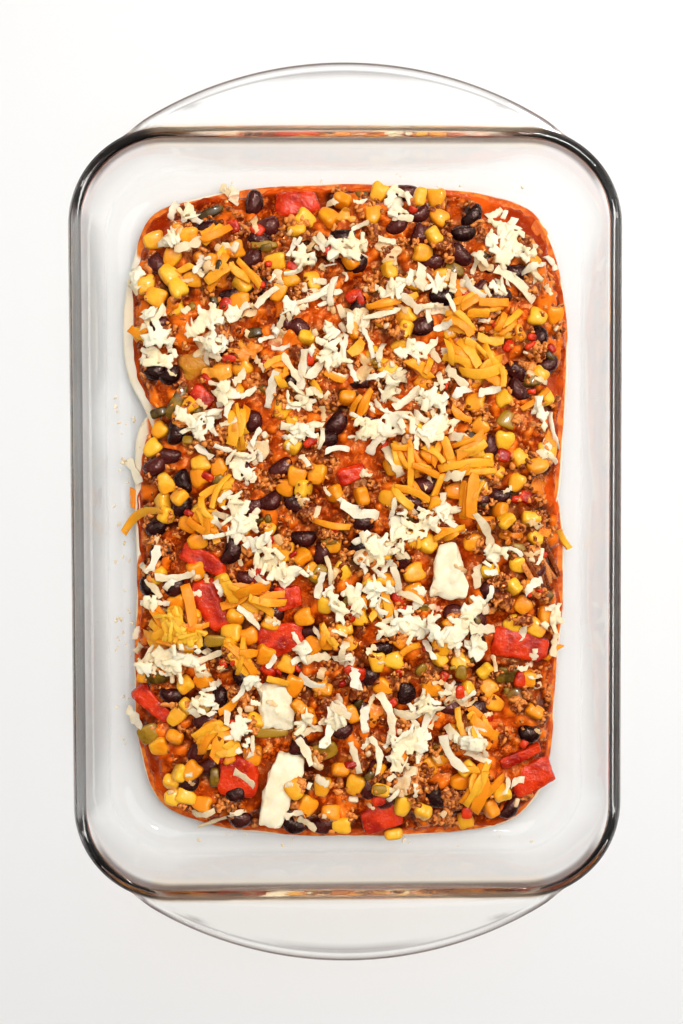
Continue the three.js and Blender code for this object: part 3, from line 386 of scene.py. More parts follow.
def floor_height(x, y):
    """Height of the glass under a point, on the flat floor or in the fillet round it."""
    dx = np.abs(x) - (dish.half_x - dish.corner)
    dy = np.abs(y) - (dish.half_y - dish.corner)
    outside = np.hypot(np.maximum(dx, 0), np.maximum(dy, 0))
    distance = outside + np.minimum(np.maximum(dx, dy), 0) - dish.corner
    reach = np.clip(distance - fillet_u, 0, dish.inner_fillet * 0.95)
    return dish.floor + dish.inner_fillet - np.sqrt(dish.inner_fillet**2 - reach**2)


back_edge = smooth_outline(back_points, 160)
front_edge = smooth_outline(front_points, 160)
outer_reach = np.maximum(reaches(back_edge, (0, 0)), reaches(front_edge, (0, 0)))
from_back_edge = (np.degrees(ANGLES) - heap.back_edge_angle) / heap.back_edge_spread
heap_reaches = outer_reach - heap.edge_shows - heap.back_edge_shows * np.exp(-(from_back_edge**2))


def heap_inside(x, y):
    """How far a point lies inside the heap's outline, along the line from the middle."""
    angle = np.arctan2(y, x) % (2 * math.pi)
    return np.interp(angle, ANGLES, heap_reaches) - np.hypot(x, y)


def heap_rules(x, y):
    """Heights of the heap's top and of the tortillas' top at each point."""
    front = inside_distance(front_edge, x, y)
    back = inside_distance(back_edge, x, y)
    lift = overlap_lift * smoothstep(-tortilla.ramp, 0, front)
    glass = floor_height(x, y)
    waves = np.sin(x / 8 + 0.7) * np.cos(y / 9) + np.sin(x / 15 - y / 12)
    rise = smoothstep(heap.slope_from, heap.slope_to, heap_inside(x, y))
    bed = glass + tortilla.gap + tortilla.thickness + lift * smoothstep(-tortilla.ramp, 0, back)
    top = bed + heap.edge_depth + (heap.depth - heap.edge_depth + heap.lump * waves) * rise
    under = glass + tortilla.gap
    back_top = np.where(back > 0, under + lift + tortilla.thickness, 0)
    front_top = np.where(front > 0, under, glass) + tortilla.thickness
    return top, np.maximum(back_top, front_top), np.maximum(front, back)


class Field:
    """Numbers on a grid of square cells over the dish."""

    low = (-120, -168)
    high = (120, 168)

    def __init__(self, cell, rule):
        self.cell = cell
        self.count = [round((b - a) / cell) + 1 for a, b in zip(self.low, self.high)]
        x, y = (a + cell * np.arange(number) for a, number in zip(self.low, self.count))
        self.x, self.y = np.meshgrid(x, y, indexing="ij")
        self.values = rule(self.x, self.y)

    def copy(self):
        return Field(self.cell, lambda x, y: self.values.copy())

    def cells(self, x, y):
        i = np.clip(np.rint((x - self.low[0]) / self.cell), 0, self.count[0] - 1).astype(int)
        j = np.clip(np.rint((y - self.low[1]) / self.cell), 0, self.count[1] - 1).astype(int)
        return i, j

    def nearest(self, x, y):
        return self.values[self.cells(x, y)]

    def at(self, x, y):
        u = np.clip((x - self.low[0]) / self.cell, 0, self.count[0] - 1.001)
        v = np.clip((y - self.low[1]) / self.cell, 0, self.count[1] - 1.001)
        i, j = u.astype(int), v.astype(int)
        s, t = u - i, v - j
        near = self.values[i, j] * (1 - t) + self.values[i, j + 1] * t
        far = self.values[i + 1, j] * (1 - t) + self.values[i + 1, j + 1] * t
        return near * (1 - s) + far * s

    def raise_to(self, points):
        """Lifts the cells round these points up to them, cells further off a little less."""
        for step_x in (-1, 0, 1):
            for step_y in (-1, 0, 1):
                cells = self.cells(points[:, 0] + step_x * 0.9, points[:, 1] + step_y * 0.9)
                lower = 0.35 * (abs(step_x) + abs(step_y))
                np.maximum.at(self.values, cells, points[:, 2] - lower)


heap_top = Field(rule_cell, lambda x, y: heap_rules(x, y)[0])
tortilla_top = Field(rule_cell, lambda x, y: heap_rules(x, y)[1])
inside_sheets = Field(rule_cell, lambda x, y: heap_rules(x, y)[2])


def bare_ground(x, y):
    """What lies in the dish before any piece is laid on it: the heap of sauce, the tortillas or the glass."""
    inside = heap_inside(x, y)
    at = np.stack([x, y], -1)
    relief = (0.5 * lumps(at, 7, 3) + 0.25 * lumps(at, 3, 4)) * smoothstep(3, 12, inside)
    thin_edge = heap.edge_depth * (1 - np.sqrt(np.clip(inside / 4, 0, 1)))
    sheet = np.where(inside_sheets.at(x, y) > 0, tortilla_top.at(x, y), floor_height(x, y))
    return np.where(inside > 0, heap_top.at(x, y) + relief - thin_edge, sheet)


def large_circles():
    """Circles that cover each larger piece: x, y and radius."""
    circles = []
    for x, y, length, width, _, turn, _, _ in tomato_pieces + pepper_pieces + cheese_pieces:
        for step in (-0.5, 0, 0.5):
            along = step * (length - width * 0.6)
            angle = math.radians(turn)
            circles.append((x + along * math.cos(angle), y + along * math.sin(angle), width * 0.55))
    return circles


def stamp_grains(field):
    """Raises many small round grains on the heap, the relief of minced meat under sauce."""
    draw = np.random.default_rng(grains.seed)
    clear = np.array(smooth_sauce + large_circles())
    for x, y in draw.uniform((-100, -148), (100, 148), (grains.count, 2)):
        radius = draw.uniform(*grains.radii)
        on_clear = (np.hypot(clear[:, 0] - x, clear[:, 1] - y) < clear[:, 2] + radius).any()
        if on_clear or heap_inside(np.array(x), np.array(y)) < 1 + radius:
            continue
        i, j = field.cells(np.array(x), np.array(y))
        span = int(radius / field.cell) + 1
        window = (slice(i - span, i + span + 1), slice(j - span, j + span + 1))
        off = np.hypot(field.x[window] - x, field.y[window] - y)
        dome = np.sqrt(np.maximum(radius**2 - off**2, 0)) * draw.uniform(0.5, 0.9)
        level = field.values[i, j] - 0.25 * radius
        field.values[window] = np.maximum(field.values[window], level + dome * (off < radius))


pile = Field(pile_cell, bare_ground)
stamp_grains(pile)


# Shapes: each is a pair of points and triangles
def shape_of(bm):
    """The shape of a mesh that is being built, which is then let go."""
    points = np.array([v.co[:] for v in bm.verts])
    triangles = np.array([[v.index for v in f.verts] for f in bm.faces])
    bm.free()
    return points, triangles


def block_shape(steps):
    """A cube from -1 to 1 whose faces are split into steps, with shared corners."""
    bm = bmesh.new()
    bmesh.ops.create_cube(bm, size=2)
    bmesh.ops.subdivide_edges(bm, edges=bm.edges[:], cuts=steps - 1, use_grid_fill=True)
    bmesh.ops.triangulate(bm, faces=bm.faces[:])
    return shape_of(bm)


def ball_shape(level):
    """A round body of radius 1 with triangles alike."""
    bm = bmesh.new()
    bmesh.ops.create_icosphere(bm, subdivisions=level, radius=1)
    return shape_of(bm)


def tube_triangles(rings, around):
    """Triangles of a closed tube of rings, whose last two points are the middles of its ends."""
    i = np.arange(around)
    after = (i + 1) % around
    walls = []
    for ring in range(rings - 1):
        low, high = ring * around, (ring + 1) * around
        walls.append(np.stack([low + i, low + after, high + after], 1))
        walls.append(np.stack([low + i, high + after, high + i], 1))
    first, last = rings * around, rings * around + 1
    top = (rings - 1) * around
    walls.append(np.stack([np.full(around, first), after, i], 1))
    walls.append(np.stack([np.full(around, last), top + i, top + after], 1))
    return np.concatenate(walls)


def closed_tube(rings, first_middle, last_middle):
    """A closed body from an array of rings, each an array of points."""
    count, around = rings.shape[:2]
    points = np.concatenate([rings.reshape(-1, 3), [first_middle, last_middle]])
    return points, tube_triangles(count, around)


def join(shapes, tones=None):
    """One shape from several, with one tone for each of them at its points."""
    points, triangles, tone = [], [], []
    offset = 0
    for number, (some_points, some_triangles) in enumerate(shapes):
        points.append(some_points)
        triangles.append(some_triangles + offset)
        tone.append(np.full(len(some_points), 0.5 if tones is None else tones[number]))
        offset += len(some_points)
    return np.concatenate(points), np.concatenate(triangles), np.concatenate(tone)


def mesh_of(name, points, triangles):
    """A smooth mesh from points and triangles."""
    mesh = bpy.data.meshes.new(name)
    mesh.vertices.add(len(points))
    mesh.vertices.foreach_set("co", points.astype(np.float32).ravel())
    mesh.loops.add(triangles.size)
    mesh.loops.foreach_set("vertex_index", triangles.astype(np.int32).ravel())
    mesh.polygons.add(len(triangles))
    mesh.polygons.foreach_set("loop_start", np.arange(0, triangles.size, 3, dtype=np.int32))
    mesh.polygons.foreach_set("use_smooth", np.ones(len(triangles), bool))
    mesh.update(calc_edges=True)
    mesh.validate()
    return mesh


def fused(shape, cell, worn, kept=1.0):
    """The shape with all that overlaps in it grown together, worn, and with a share of its triangles kept."""
    whole = bpy.data.objects.new("whole", mesh_of("whole", shape[0], faces_out(*shape[:2])))
    bpy.context.scene.collection.objects.link(whole)
    remesh = whole.modifiers.new("remesh", "REMESH")
    remesh.mode = "VOXEL"
    remesh.voxel_size = cell
    smooth = whole.modifiers.new("smooth", "SMOOTH")
    smooth.iterations = worn
    if kept < 1:
        whole.modifiers.new("decimate", "DECIMATE").ratio = kept
    mesh = bpy.data.meshes.new_from_object(whole.evaluated_get(bpy.context.evaluated_depsgraph_get()))
    bpy.data.objects.remove(whole)
    mesh.calc_loop_triangles()
    points = np.empty(len(mesh.vertices) * 3)
    mesh.vertices.foreach_get("co", points)
    triangles = np.empty(len(mesh.loop_triangles) * 3, np.int32)
    mesh.loop_triangles.foreach_get("vertices", triangles)
    bpy.data.meshes.remove(mesh)
    points = points.reshape(-1, 3)
    tone = np.clip(0.5 + 0.5 * lumps(points, 9, 61), 0, 1)
    return points, triangles.reshape(-1, 3), tone


def faces_out(points, triangles):
    """The triangles, all turned over if they enclose a negative volume."""
    a, b, c = (points[triangles[:, i]] for i in range(3))
    return triangles if (a * np.cross(b, c)).sum() > 0 else triangles[:, ::-1]


def note(mesh, title, values):
    """Notes a number at each point of a mesh, for its material."""
    attribute = mesh.attributes.new(title, "FLOAT", "POINT")
    attribute.data.foreach_set("value", values.astype(np.float32))


laid_pieces = []


def paint_hollow_shade():
    """Notes on every piece laid so far how deep each point lies below the pile round it, which its material
    darkens as painted shade.
    """
    around = pile.values
    for axis in (0, 1):
        around = sum(np.roll(around, step, axis) for step in range(-4, 5)) / 9
    level = Field(pile.cell, lambda x, y: around)
    for piece in laid_pieces:
        points = np.empty(len(piece.data.vertices) * 3)
        piece.data.vertices.foreach_get("co", points)
        points = points.reshape(-1, 3) / METRES
        depth = level.at(points[:, 0], points[:, 1]) - points[:, 2]
        note(piece.data, "hollow_shade", smoothstep(0.8, 4.2, depth))


def make_piece(name, shape, material, slot, replaced=(), crisp=None, extra=None):
    """A mesh object of the casserole, riding on its one body, with its tone and its rise above the sauce."""
    points, triangles = shape[0], faces_out(*shape[:2])
    tone = shape[2] if len(shape) > 2 else np.full(len(points), 0.5)
    mesh = mesh_of(name, points * METRES, triangles)
    if crisp:
        mesh.set_sharp_from_angle(angle=math.radians(crisp))
    beside_heap = smoothstep(0, -2, heap_inside(points[:, 0], points[:, 1]))
    rise = points[:, 2] - heap_top.at(points[:, 0], points[:, 1]) + 10 * beside_heap
    for title, values in {"tone": tone, "rise": rise, **(extra or {})}.items():
        note(mesh, title, values)
    mesh.materials.append(material)
    piece = bpy.data.objects.new(name, mesh)
    bpy.context.scene.collection.objects.link(piece)
    laid_pieces.append(piece)
    piece.visible_glossy = slot == "glass"
    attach(piece, "root")
    if replaced:
        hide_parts(*replaced)
    return piece


# Materials
class Material:
    """A material with a principled shader, and short calls for the nodes round it."""

    def __init__(self, name, **values):
        self.data = bpy.data.materials.new(name)
        self.data.use_nodes = True
        self.shader = self.data.node_tree.nodes["Principled BSDF"]
        self.place = self.add("ShaderNodeTexCoord").outputs["Object"]
        self.set(**values)

    def set(self, **values):
        """Sets sockets of the shader. An underscore in a name stands for a space."""
        for name, value in values.items():
            self.connect(self.shader.inputs[name.replace("_", " ")], value)

    def connect(self, socket, value):
        if isinstance(value, bpy.types.NodeSocket):
            self.data.node_tree.links.new(value, socket)
        else:
            socket.default_value = value

    def add(self, kind, inputs=None, **settings):
        node = self.data.node_tree.nodes.new(kind)
        for name, value in settings.items():
            setattr(node, name, value)
        for name, value in (inputs or {}).items():
            self.connect(node.inputs[name], value)
        return node

    def noise(self, scale, detail=3.0, roughness=0.55, distortion=0.0):
        inputs = {
            "Vector": self.place, "Scale": scale, "Detail": detail, "Roughness": roughness,
            "Distortion": distortion,
        }
        return self.add("ShaderNodeTexNoise", inputs).outputs["Fac"]

    def cells(self, scale):
        return self.add("ShaderNodeTexVoronoi", {"Vector": self.place, "Scale": scale}).outputs["Distance"]

    def attribute(self, name):
        return self.add("ShaderNodeAttribute", attribute_name=name).outputs["Fac"]

    def spread(self, value, low, high, to_low=0.0, to_high=1.0):
        """The value stretched from one range to another, smooth and clamped."""
        inputs = {"Value": value, "From Min": low, "From Max": high, "To Min": to_low, "To Max": to_high}
        return self.add("ShaderNodeMapRange", inputs, interpolation_type="SMOOTHSTEP").outputs["Result"]

    def math(self, operation, a, b):
        return self.add("ShaderNodeMath", {0: a, 1: b}, operation=operation).outputs[0]

    def mix(self, factor, a, b):
        """A colour between two others."""
        node = self.add("ShaderNodeMix", data_type="RGBA")
        self.connect(node.inputs["Factor"], factor)
        for socket, value in ((node.inputs[6], a), (node.inputs[7], b)):
            self.connect(socket, value if isinstance(value, bpy.types.NodeSocket) else (*value, 1))
        return node.outputs[2]

    def bump(self, *layers):
        """Relief from several heights, each with its depth in millimetres."""
        normal = None
        for height, depth in layers:
            inputs = {"Height": height, "Distance": depth * METRES, "Strength": 1.0}
            if normal is not None:
                inputs["Normal"] = normal
            normal = self.add("ShaderNodeBump", inputs).outputs["Normal"]
        self.set(Normal=normal)

    def surface(self, grain, smoothest, roughest, *layers):
        """Roughness that follows a grain from one value to another, and relief."""
        self.set(Roughness=self.spread(grain, 0.3, 0.7, smoothest, roughest))
        self.bump(*layers)
        return self.data


# Sauce colours. The dark one is both the deep sauce's own colour and painted shade deep between pieces; the
# black one is only painted shade in the sauce's hollows
sauce_colour = (0.56, 0.075, 0.003)
dark_sauce_and_shade = (0.20, 0.016, 0.001)
painted_shade_black = (0.075, 0.008, 0.001)


def stained(material, colour, low, high, most):
    """The colour with sauce over it where a piece lies low in the heap.

    It clears between the heights low and high over the sauce, and most is its share below them.
    """
    rise = material.attribute("rise")
    uneven = material.math("MULTIPLY", material.noise(330, 2), 2.2)
    height = material.math("ADD", rise, uneven)
    dry = material.spread(height, low + 0.9, high + 0.9)
    clean = material.math("MAXIMUM", dry, 1 - most)
    return material.mix(clean, sauce_colour, colour)


def food(name, light, dark, scale, stain, hollow_shade=0.0, **values):
    """A material with two tones that change over each piece and from piece to piece, and sauce low down.

    Its hollow shade is how far painted shade, mixed towards dark sauce, darkens it deep between other pieces.
    """
    material = Material(name, **values)
    over = material.noise(scale, 3)
    tone = material.attribute("tone")
    both = material.math("ADD", material.math("MULTIPLY", over, 0.9), material.math("MULTIPLY", tone, 0.6))
    colour = stained(material, material.mix(material.spread(both, 0.45, 1.0), dark, light), *stain)
    # Painted shade: darker, towards dark sauce, where the piece lies deep below the pile round it
    if hollow_shade:
        depth = material.math("MULTIPLY", material.attribute("hollow_shade"), hollow_shade)
        colour = material.mix(depth, colour, dark_sauce_and_shade)
    material.set(Base_Color=colour)
    return material


def sauce_material():
    """Sauce: deep red in the hollows, with painted shade darkening it deepest in them, orange where it is
    thin over grains of meat, and oily at its border.
    """
    material = Material("enchilada_sauce", Specular_IOR_Level=0.7, Specular_Tint=(1.0, 0.5, 0.2, 1))
    wide = material.noise(70, 4)
    fine = material.noise(260, 5, 0.65)
    oil = material.spread(material.noise(520, 4, 0.65), 0.48, 0.70)
    deep = material.mix(material.spread(wide, 0.35, 0.65), dark_sauce_and_shade, sauce_colour)
    sauce = material.mix(oil, deep, (0.88, 0.16, 0.006))
    height = material.math("ADD", material.attribute("grain"), material.math("MULTIPLY", fine, 1.2))
    inner = material.mix(material.spread(height, 0.9, 2.8), sauce, (0.88, 0.20, 0.012))
    pools = material.spread(material.noise(60, 4), 0.35, 0.65)
    pooled = material.mix(pools, (0.84, 0.12, 0.005), (0.36, 0.028, 0.001))
    oily = material.spread(material.noise(480, 4, 0.7), 0.58, 0.8)
    thin = material.mix(oily, pooled, (0.95, 0.26, 0.02))
    # Painted shade: near black deep in the hollows, in patches over the heap
    patchy = material.spread(wide, 0.4, 0.6, 0.35, 1.0)
    depth = material.math("MULTIPLY", material.attribute("hollow_shade"), patchy)
    shaded = material.mix(depth, inner, painted_shade_black)
    material.set(Base_Color=material.mix(material.attribute("edge"), thin, shaded))
    return material.surface(fine, 0.05, 0.35, (fine, 0.4), (material.noise(700, 2), 0.07))


def beef_material():
    material = food(
        "ground_beef", light=(0.84, 0.30, 0.065), dark=(0.22, 0.034, 0.004), scale=420,
        stain=(-0.4, 1.1, 0.75), hollow_shade=0.6,
        Specular_IOR_Level=0.9, Specular_Tint=(1.0, 0.62, 0.35, 1),
    )
    grain = material.noise(1100, 4, 0.6)
    return material.surface(grain, 0.06, 0.4, (grain, 0.3), (material.cells(600), 0.15))


def bean_material():
    material = food(
        "black_bean_skin", light=(0.105, 0.018, 0.014), dark=(0.022, 0.005, 0.004), scale=160,
        stain=(-1.2, 0.5, 0.5), hollow_shade=0.3,
        Specular_IOR_Level=0.5, Specular_Tint=(1.0, 0.75, 0.65, 1),
    )
    skin = material.noise(600, 3)
    return material.surface(skin, 0.08, 0.3, (skin, 0.35), (material.noise(260, 3), 0.8))


def corn_material():
    material = food(
        "sweet_corn", light=(1.0, 0.53, 0.035), dark=(0.95, 0.32, 0.008), scale=150,
        stain=(-1.0, 0.6, 0.6), hollow_shade=0.3,
        Coat_Weight=0.25, Coat_Roughness=0.08, Specular_IOR_Level=0.3,
        Subsurface_Weight=0.2, Subsurface_Scale=0.002, Subsurface_Radius=(1.0, 0.6, 0.15),
    )
    skin = material.noise(450, 3)
    return material.surface(skin, 0.25, 0.45, (skin, 0.2), (material.noise(150, 2), 0.8))


def cheese_material(name, light, dark, stain, roughness, weight, depth):
    material = food(
        name, light, dark, 220, stain,
        Subsurface_Weight=weight, Subsurface_Scale=0.002, Subsurface_Radius=(1.0, 0.88, 0.64),
        Specular_IOR_Level=0.3,
    )
    crumb = material.noise(800, 4, 0.6)
    dents = material.noise(240, 2)
    return material.surface(crumb, roughness - 0.1, roughness + 0.12, (crumb, depth), (dents, depth))


def pepper_material():
    material = food(
        "green_pepper", light=(0.42, 0.23, 0.018), dark=(0.07, 0.036, 0.004), scale=210,
        stain=(-0.8, 0.9, 0.75), hollow_shade=0.5,
        Coat_Weight=0.4, Coat_Roughness=0.08, Specular_IOR_Level=0.25,
    )
    skin = material.noise(420, 3)
    return material.surface(skin, 0.2, 0.4, (skin, 0.25))


def tomato_material(name, light, dark, pulp):
    stain = (-1.5, 0.4, 0.45)
    material = food(name, light, dark, scale=170, stain=stain, Specular_IOR_Level=0.35)
    flesh = material.noise(350, 4)
    wet = material.noise(800, 3, 0.6)
    patch = material.spread(material.noise(110, 3, 0.5), 0.32, 0.58)
    juicy = material.mix(patch, dark, light)
    pale = material.spread(material.noise(620, 4, 0.7), 0.56, 0.76)
    material.set(Base_Color=stained(material, material.mix(pale, juicy, pulp), *stain))
    return material.surface(flesh, 0.08, 0.3, (flesh, 0.4), (material.noise(110, 2), 0.8), (wet, 0.3))


def tortilla_material():
    material = Material("flour_tortilla", Specular_IOR_Level=0.2)
    patches = material.noise(55, 4)
    cream = material.mix(material.spread(patches, 0.35, 0.7), (0.97, 0.84, 0.62), (1.0, 0.94, 0.78))
    freckles = material.spread(material.noise(240, 3, 0.7), 0.66, 0.74)
    toasted = material.mix(material.math("MULTIPLY", freckles, 0.5), cream, (0.62, 0.36, 0.14))
    blots = material.spread(material.noise(200, 4, 0.6), 0.35, 0.65)
    soaked = material.mix(blots, (0.93, 0.27, 0.035), (0.60, 0.085, 0.006))
    stain = material.math("ADD", material.attribute("soak"), material.spread(patches, 0.3, 0.7, -0.2, 0.2))
    material.set(Base_Color=material.mix(material.spread(stain, 0.35, 0.65), toasted, soaked))
    return material.surface(patches, 0.35, 0.6, (patches, 0.5), (material.noise(700, 3), 0.15))


def glass_material():
    """Clear pressed glass that lets the lamps' light through to what lies in and under it, with painted dark
    lines of shade and a painted warm reflection where its points are marked.
    """
    material = Material("clear_glass", Transmission_Weight=1.0, IOR=1.47, Specular_Tint=(0.4, 0.4, 0.4, 1))
    # Painted warm reflection: the rim at the dish's ends is tinted warm
    clear_colour = material.mix(material.attribute("warm"), (0.995, 1.0, 0.995), (1.0, 0.90, 0.74))
    # Painted shade: the dark lines along the handles and across the rim are painted into the glass's colour
    material.set(Base_Color=material.mix(material.attribute("line"), clear_colour, (0.14, 0.10, 0.09)))
    wave = material.noise(14, 2)
    material.set(Roughness=material.spread(material.noise(90, 3), 0.3, 0.7, 0.0, 0.012))
    material.bump((wave, 0.05))
    ray = material.add("ShaderNodeLightPath")
    lit = material.math("MAXIMUM", ray.outputs["Is Shadow Ray"], ray.outputs["Is Diffuse Ray"])
    passes = material.math("MAXIMUM", lit, material.attribute("leak"))
    # The painted warm reflection also tints the light let straight through at the rim of the ends
    through = material.mix(material.attribute("warm"), (0.99, 0.99, 0.985), (0.90, 0.72, 0.55))
    clear = material.add("ShaderNodeBsdfTransparent", {"Color": through})
    both = {"Fac": passes, 1: material.shader.outputs[0], 2: clear.outputs[0]}
    blend = material.add("ShaderNodeMixShader", both)
    output = material.data.node_tree.nodes["Material Output"]
    material.data.node_tree.links.new(blend.outputs[0], output.inputs["Surface"])
    return material.data


# Dish
def dish_stations(corner_steps=22, end_steps=56, side_steps=10):
    """Places on the floor line, anticlockwise, each with its outward direction."""
    places, outs = [], []
    corners = ((1, 1, 0), (-1, 1, 90), (-1, -1, 180), (1, -1, 270))
    for number, (sx, sy, start) in enumerate(corners):
        centre = np.array([sx * (dish.half_x - dish.corner), sy * (dish.half_y - dish.corner)])
        for i in range(corner_steps + 1):
            angle = math.radians(start + 90 * i / corner_steps)
            out = np.array([math.cos(angle), math.sin(angle)])
            places.append(centre + dish.corner * out)
            outs.append(out)
        at_end = number % 2 == 0
        steps = end_steps if at_end else side_steps
        span = (-2 * centre[0], 0) if at_end else (0, -2 * centre[1])
        start_place, start_out = places[-1], outs[-1]
        for i in range(1, steps):
            places.append(start_place + np.array(span) * i / steps)
            outs.append(start_out)
    return np.array(places), np.array(outs)


def handle_widths(places, outs):
    """How far the handles stand out from the rim at each station."""
    rim = places + dish.rim * outs
    from_centre = rim - np.stack([np.zeros(len(rim)), np.sign(outs[:, 1]) * handle.centre_y], 1)
    along = (from_centre * outs).sum(axis=1)
    inside = handle.radius**2 - (from_centre**2).sum(axis=1)
    reach = -along + np.sqrt(np.maximum(0, along**2 + inside))
    width = np.maximum(0, reach) * (1 - smoothstep(handle.fade_from, handle.fade_to, np.abs(rim[:, 0])))
    return np.where(np.abs(outs[:, 1]) < 0.01, 0, width)


def section_arc(centre_u, centre_z, radius, start, end, steps):
    angles = np.radians(np.linspace(start, end, steps + 1))
    return np.stack([centre_u + radius * np.cos(angles), centre_z + radius * np.sin(angles)], 1)


def rounded(points, times):
    """An open line with its corners cut, ends kept."""
    for _ in range(times):
        near = 0.75 * points[:-1] + 0.25 * points[1:]
        far = 0.25 * points[:-1] + 0.75 * points[1:]
        between = np.stack([near, far], 1).reshape(-1, 2)
        points = np.concatenate([points[:1], between[1:-1], points[-1:]])
    return points


def dish_section(width):
    """The dish's section as outward distance and height, from the floor over the rim to the base."""
    lean_degrees = math.degrees(lean)
    outer_u = inner_wall_at(dish.outer_fillet) + dish.wall - dish.outer_fillet / math.cos(lean)
    top = dish.height
    rim = dish.rim
    bead = min(handle.bead, width)
    plate = width - bead
    plate_top = handle.top - handle.bead_rise * smoothstep(4, 22, plate)
    over = np.array([
        [inner_wall_at(30), 30],
        [inner_wall_at(top - 2.4), top - 2.4],
        [inner_wall_at(top) + 0.6, top - 0.5],
        [inner_wall_at(top) + 1.8, top],
        [rim - 2.2, top],
        [rim - 1, top - 0.6],
        [rim - 0.5, handle.top + 0.3],
        [rim + min(plate * 0.4, 7), plate_top],
        [rim + plate * 0.85, plate_top],
        [rim + plate, plate_top],
        [rim + plate + bead * 0.12, handle.top],
        [rim + width - 1.2, handle.top],
        [rim + width, handle.top - 1.6],
        [rim + width, handle.underside + 1.4],
        [rim + width - 1.2, handle.underside],
        [rim + width * 0.4 - 1, handle.underside],
        [inner_wall_at(handle.underside) + dish.wall, handle.underside - 0.8],
        [inner_wall_at(30) + dish.wall, 30],
    ])
    return np.concatenate([
        section_arc(fillet_u, dish.floor + dish.inner_fillet, dish.inner_fillet, -90, -lean_degrees, 12),
        rounded(over, 2)[1:-1],
        section_arc(outer_u, dish.outer_fillet, dish.outer_fillet, -lean_degrees, -90, 14),
    ])


def make_dish(material):
    """The glass dish, as rings that run over its section from the floor to the base."""
    places, outs = dish_stations()
    widths = handle_widths(places, outs)
    sections = np.stack([dish_section(width) for width in widths])
    rings = np.empty((sections.shape[1], len(places), 3))
    rings[..., :2] = places + sections[:, :, 0].T[..., None] * outs
    rings[..., 2] = sections[:, :, 1].T
    shape = closed_tube(rings[::-1], (0, 0, 0), (0, 0, dish.floor))
    outward = np.append(sections[:, ::-1, 0].T.ravel(), (0, 0))
    stations = (widths, np.abs(outs[:, 0]), np.abs(outs[:, 1]))
    width, sideways, endways = (np.append(np.tile(values, len(rings)), (0, 0)) for values in stations)
    extra = dish_tints(shape[0], outward, width, sideways, endways)
    return make_piece("glass_dish", shape, material, "glass", ["dish"], extra=extra)


def dish_tints(points, outward, width, sideways, endways):
    """What the glass shows at each point: light that leaks through, a painted warm reflection on the rim at
    the ends, and painted dark lines of shade along the handles and across the rim.
    """
    x, y, z = points.T
    at_end = endways > 0.97
    at_rim = smoothstep(44, 50, z) * smoothstep(dish.rim + 1.5, dish.rim - 0.5, outward)
    along_sides = (0.15 - 0.10 * np.tanh(x / 50)) * smoothstep(38, 44, z)
    along_ends = 0.22 * smoothstep(51, 54, z) * at_rim
    leak = 0.01 + np.where(at_end, along_ends, along_sides) * smoothstep(0.5, 0.1, 2 * sideways * endways)
    to_edge = outward - dish.rim - width
    at_handle = (z > handle.underside - 1) * smoothstep(0.5, 3, width)
    # Painted shade: dark lines along the handles' outer edge and inside their bead
    painted_outer_shade_line = smoothstep(-1.9, -1.0, to_edge)
    painted_inner_shade_line = 0.7 * np.exp(-(((to_edge + handle.bead) / 0.4) ** 2)) * smoothstep(8, 12, width)
    painted_handle_shade = np.maximum(painted_outer_shade_line, painted_inner_shade_line) * at_handle
    # Painted shade: a dark band across the rim at the ends, reaching further towards the corners
    across = (outward - inner_wall_at(dish.height)) / (dish.rim - inner_wall_at(dish.height))
    clear_to = np.where(y < 0, 26, 52)
    dark_to = 0.24 + 0.9 * smoothstep(clear_to, clear_to + 34, np.abs(x))
    painted_rim_shade = smoothstep(dark_to + 0.12, dark_to - 0.12, across) * smoothstep(0.3, 0.65, endways)
    painted_rim_shade *= at_rim * smoothstep(50, 53, z)
    return {"leak": leak, "warm": at_end * at_rim, "line": np.maximum(painted_handle_shade, painted_rim_shade)}


# Tortillas
def net_rings(centre, reach, fractions, spokes):
    """Places of a polar net, ring by ring from the inside out."""
    angles = np.arange(spokes) * 2 * math.pi / spokes
    radii = np.array(fractions)[:, None] * np.interp(angles, ANGLES, reach)
    return centre[0] + radii * np.cos(angles), centre[1] + radii * np.sin(angles)


def make_tortilla(name, edge, centre, material, is_back):
    reach = reaches(edge, centre)
    fractions = [0.3, 0.55, 0.7, 0.8, 0.86, 0.9, 0.93, 0.955, 0.975, 0.99, 1.0]
    x, y = net_rings(centre, reach, fractions, 300)
    glass = floor_height(x, y) + tortilla.gap
    ripple = 0.35 * lumps(np.stack([x, y], -1), 26, 8)
    ripple *= smoothstep(0.7, 0.9, np.array(fractions))[:, None]
    lift = overlap_lift * smoothstep(-tortilla.ramp, 0, inside_distance(front_edge, x, y)) if is_back else 0
    under = glass + lift + np.maximum(ripple, 0) * (0.5 if is_back else 1)
    side = np.clip((1 - np.array(fractions)) / 0.02, 0, 1)[:, None] * 0.55 + 0.45
    top = under + tortilla.thickness * side
    rings = np.concatenate([np.stack([x, y, under], -1), np.stack([x, y, top], -1)[::-1]])
    middle_under = np.append(centre, under[0].mean())
    middle_top = np.append(centre, top[0].mean())
    shape = closed_tube(rings, middle_under, middle_top)
    points = shape[0]
    ring_share = np.append(np.repeat(np.append(fractions, fractions[::-1]), x.shape[1]), (0, 0))
    rim = smoothstep(0.985, 1, ring_share) * (0.62 + 0.3 * lumps(points[:, :2], 16, 13))
    soak = tortilla_soak(points[:, 0], points[:, 1], is_back) - np.clip(rim, 0, 1)
    return make_piece(name, shape, material, "tortilla", [f"tortilla_{'back' if is_back else 'front'}"],
                      extra={"soak": soak})


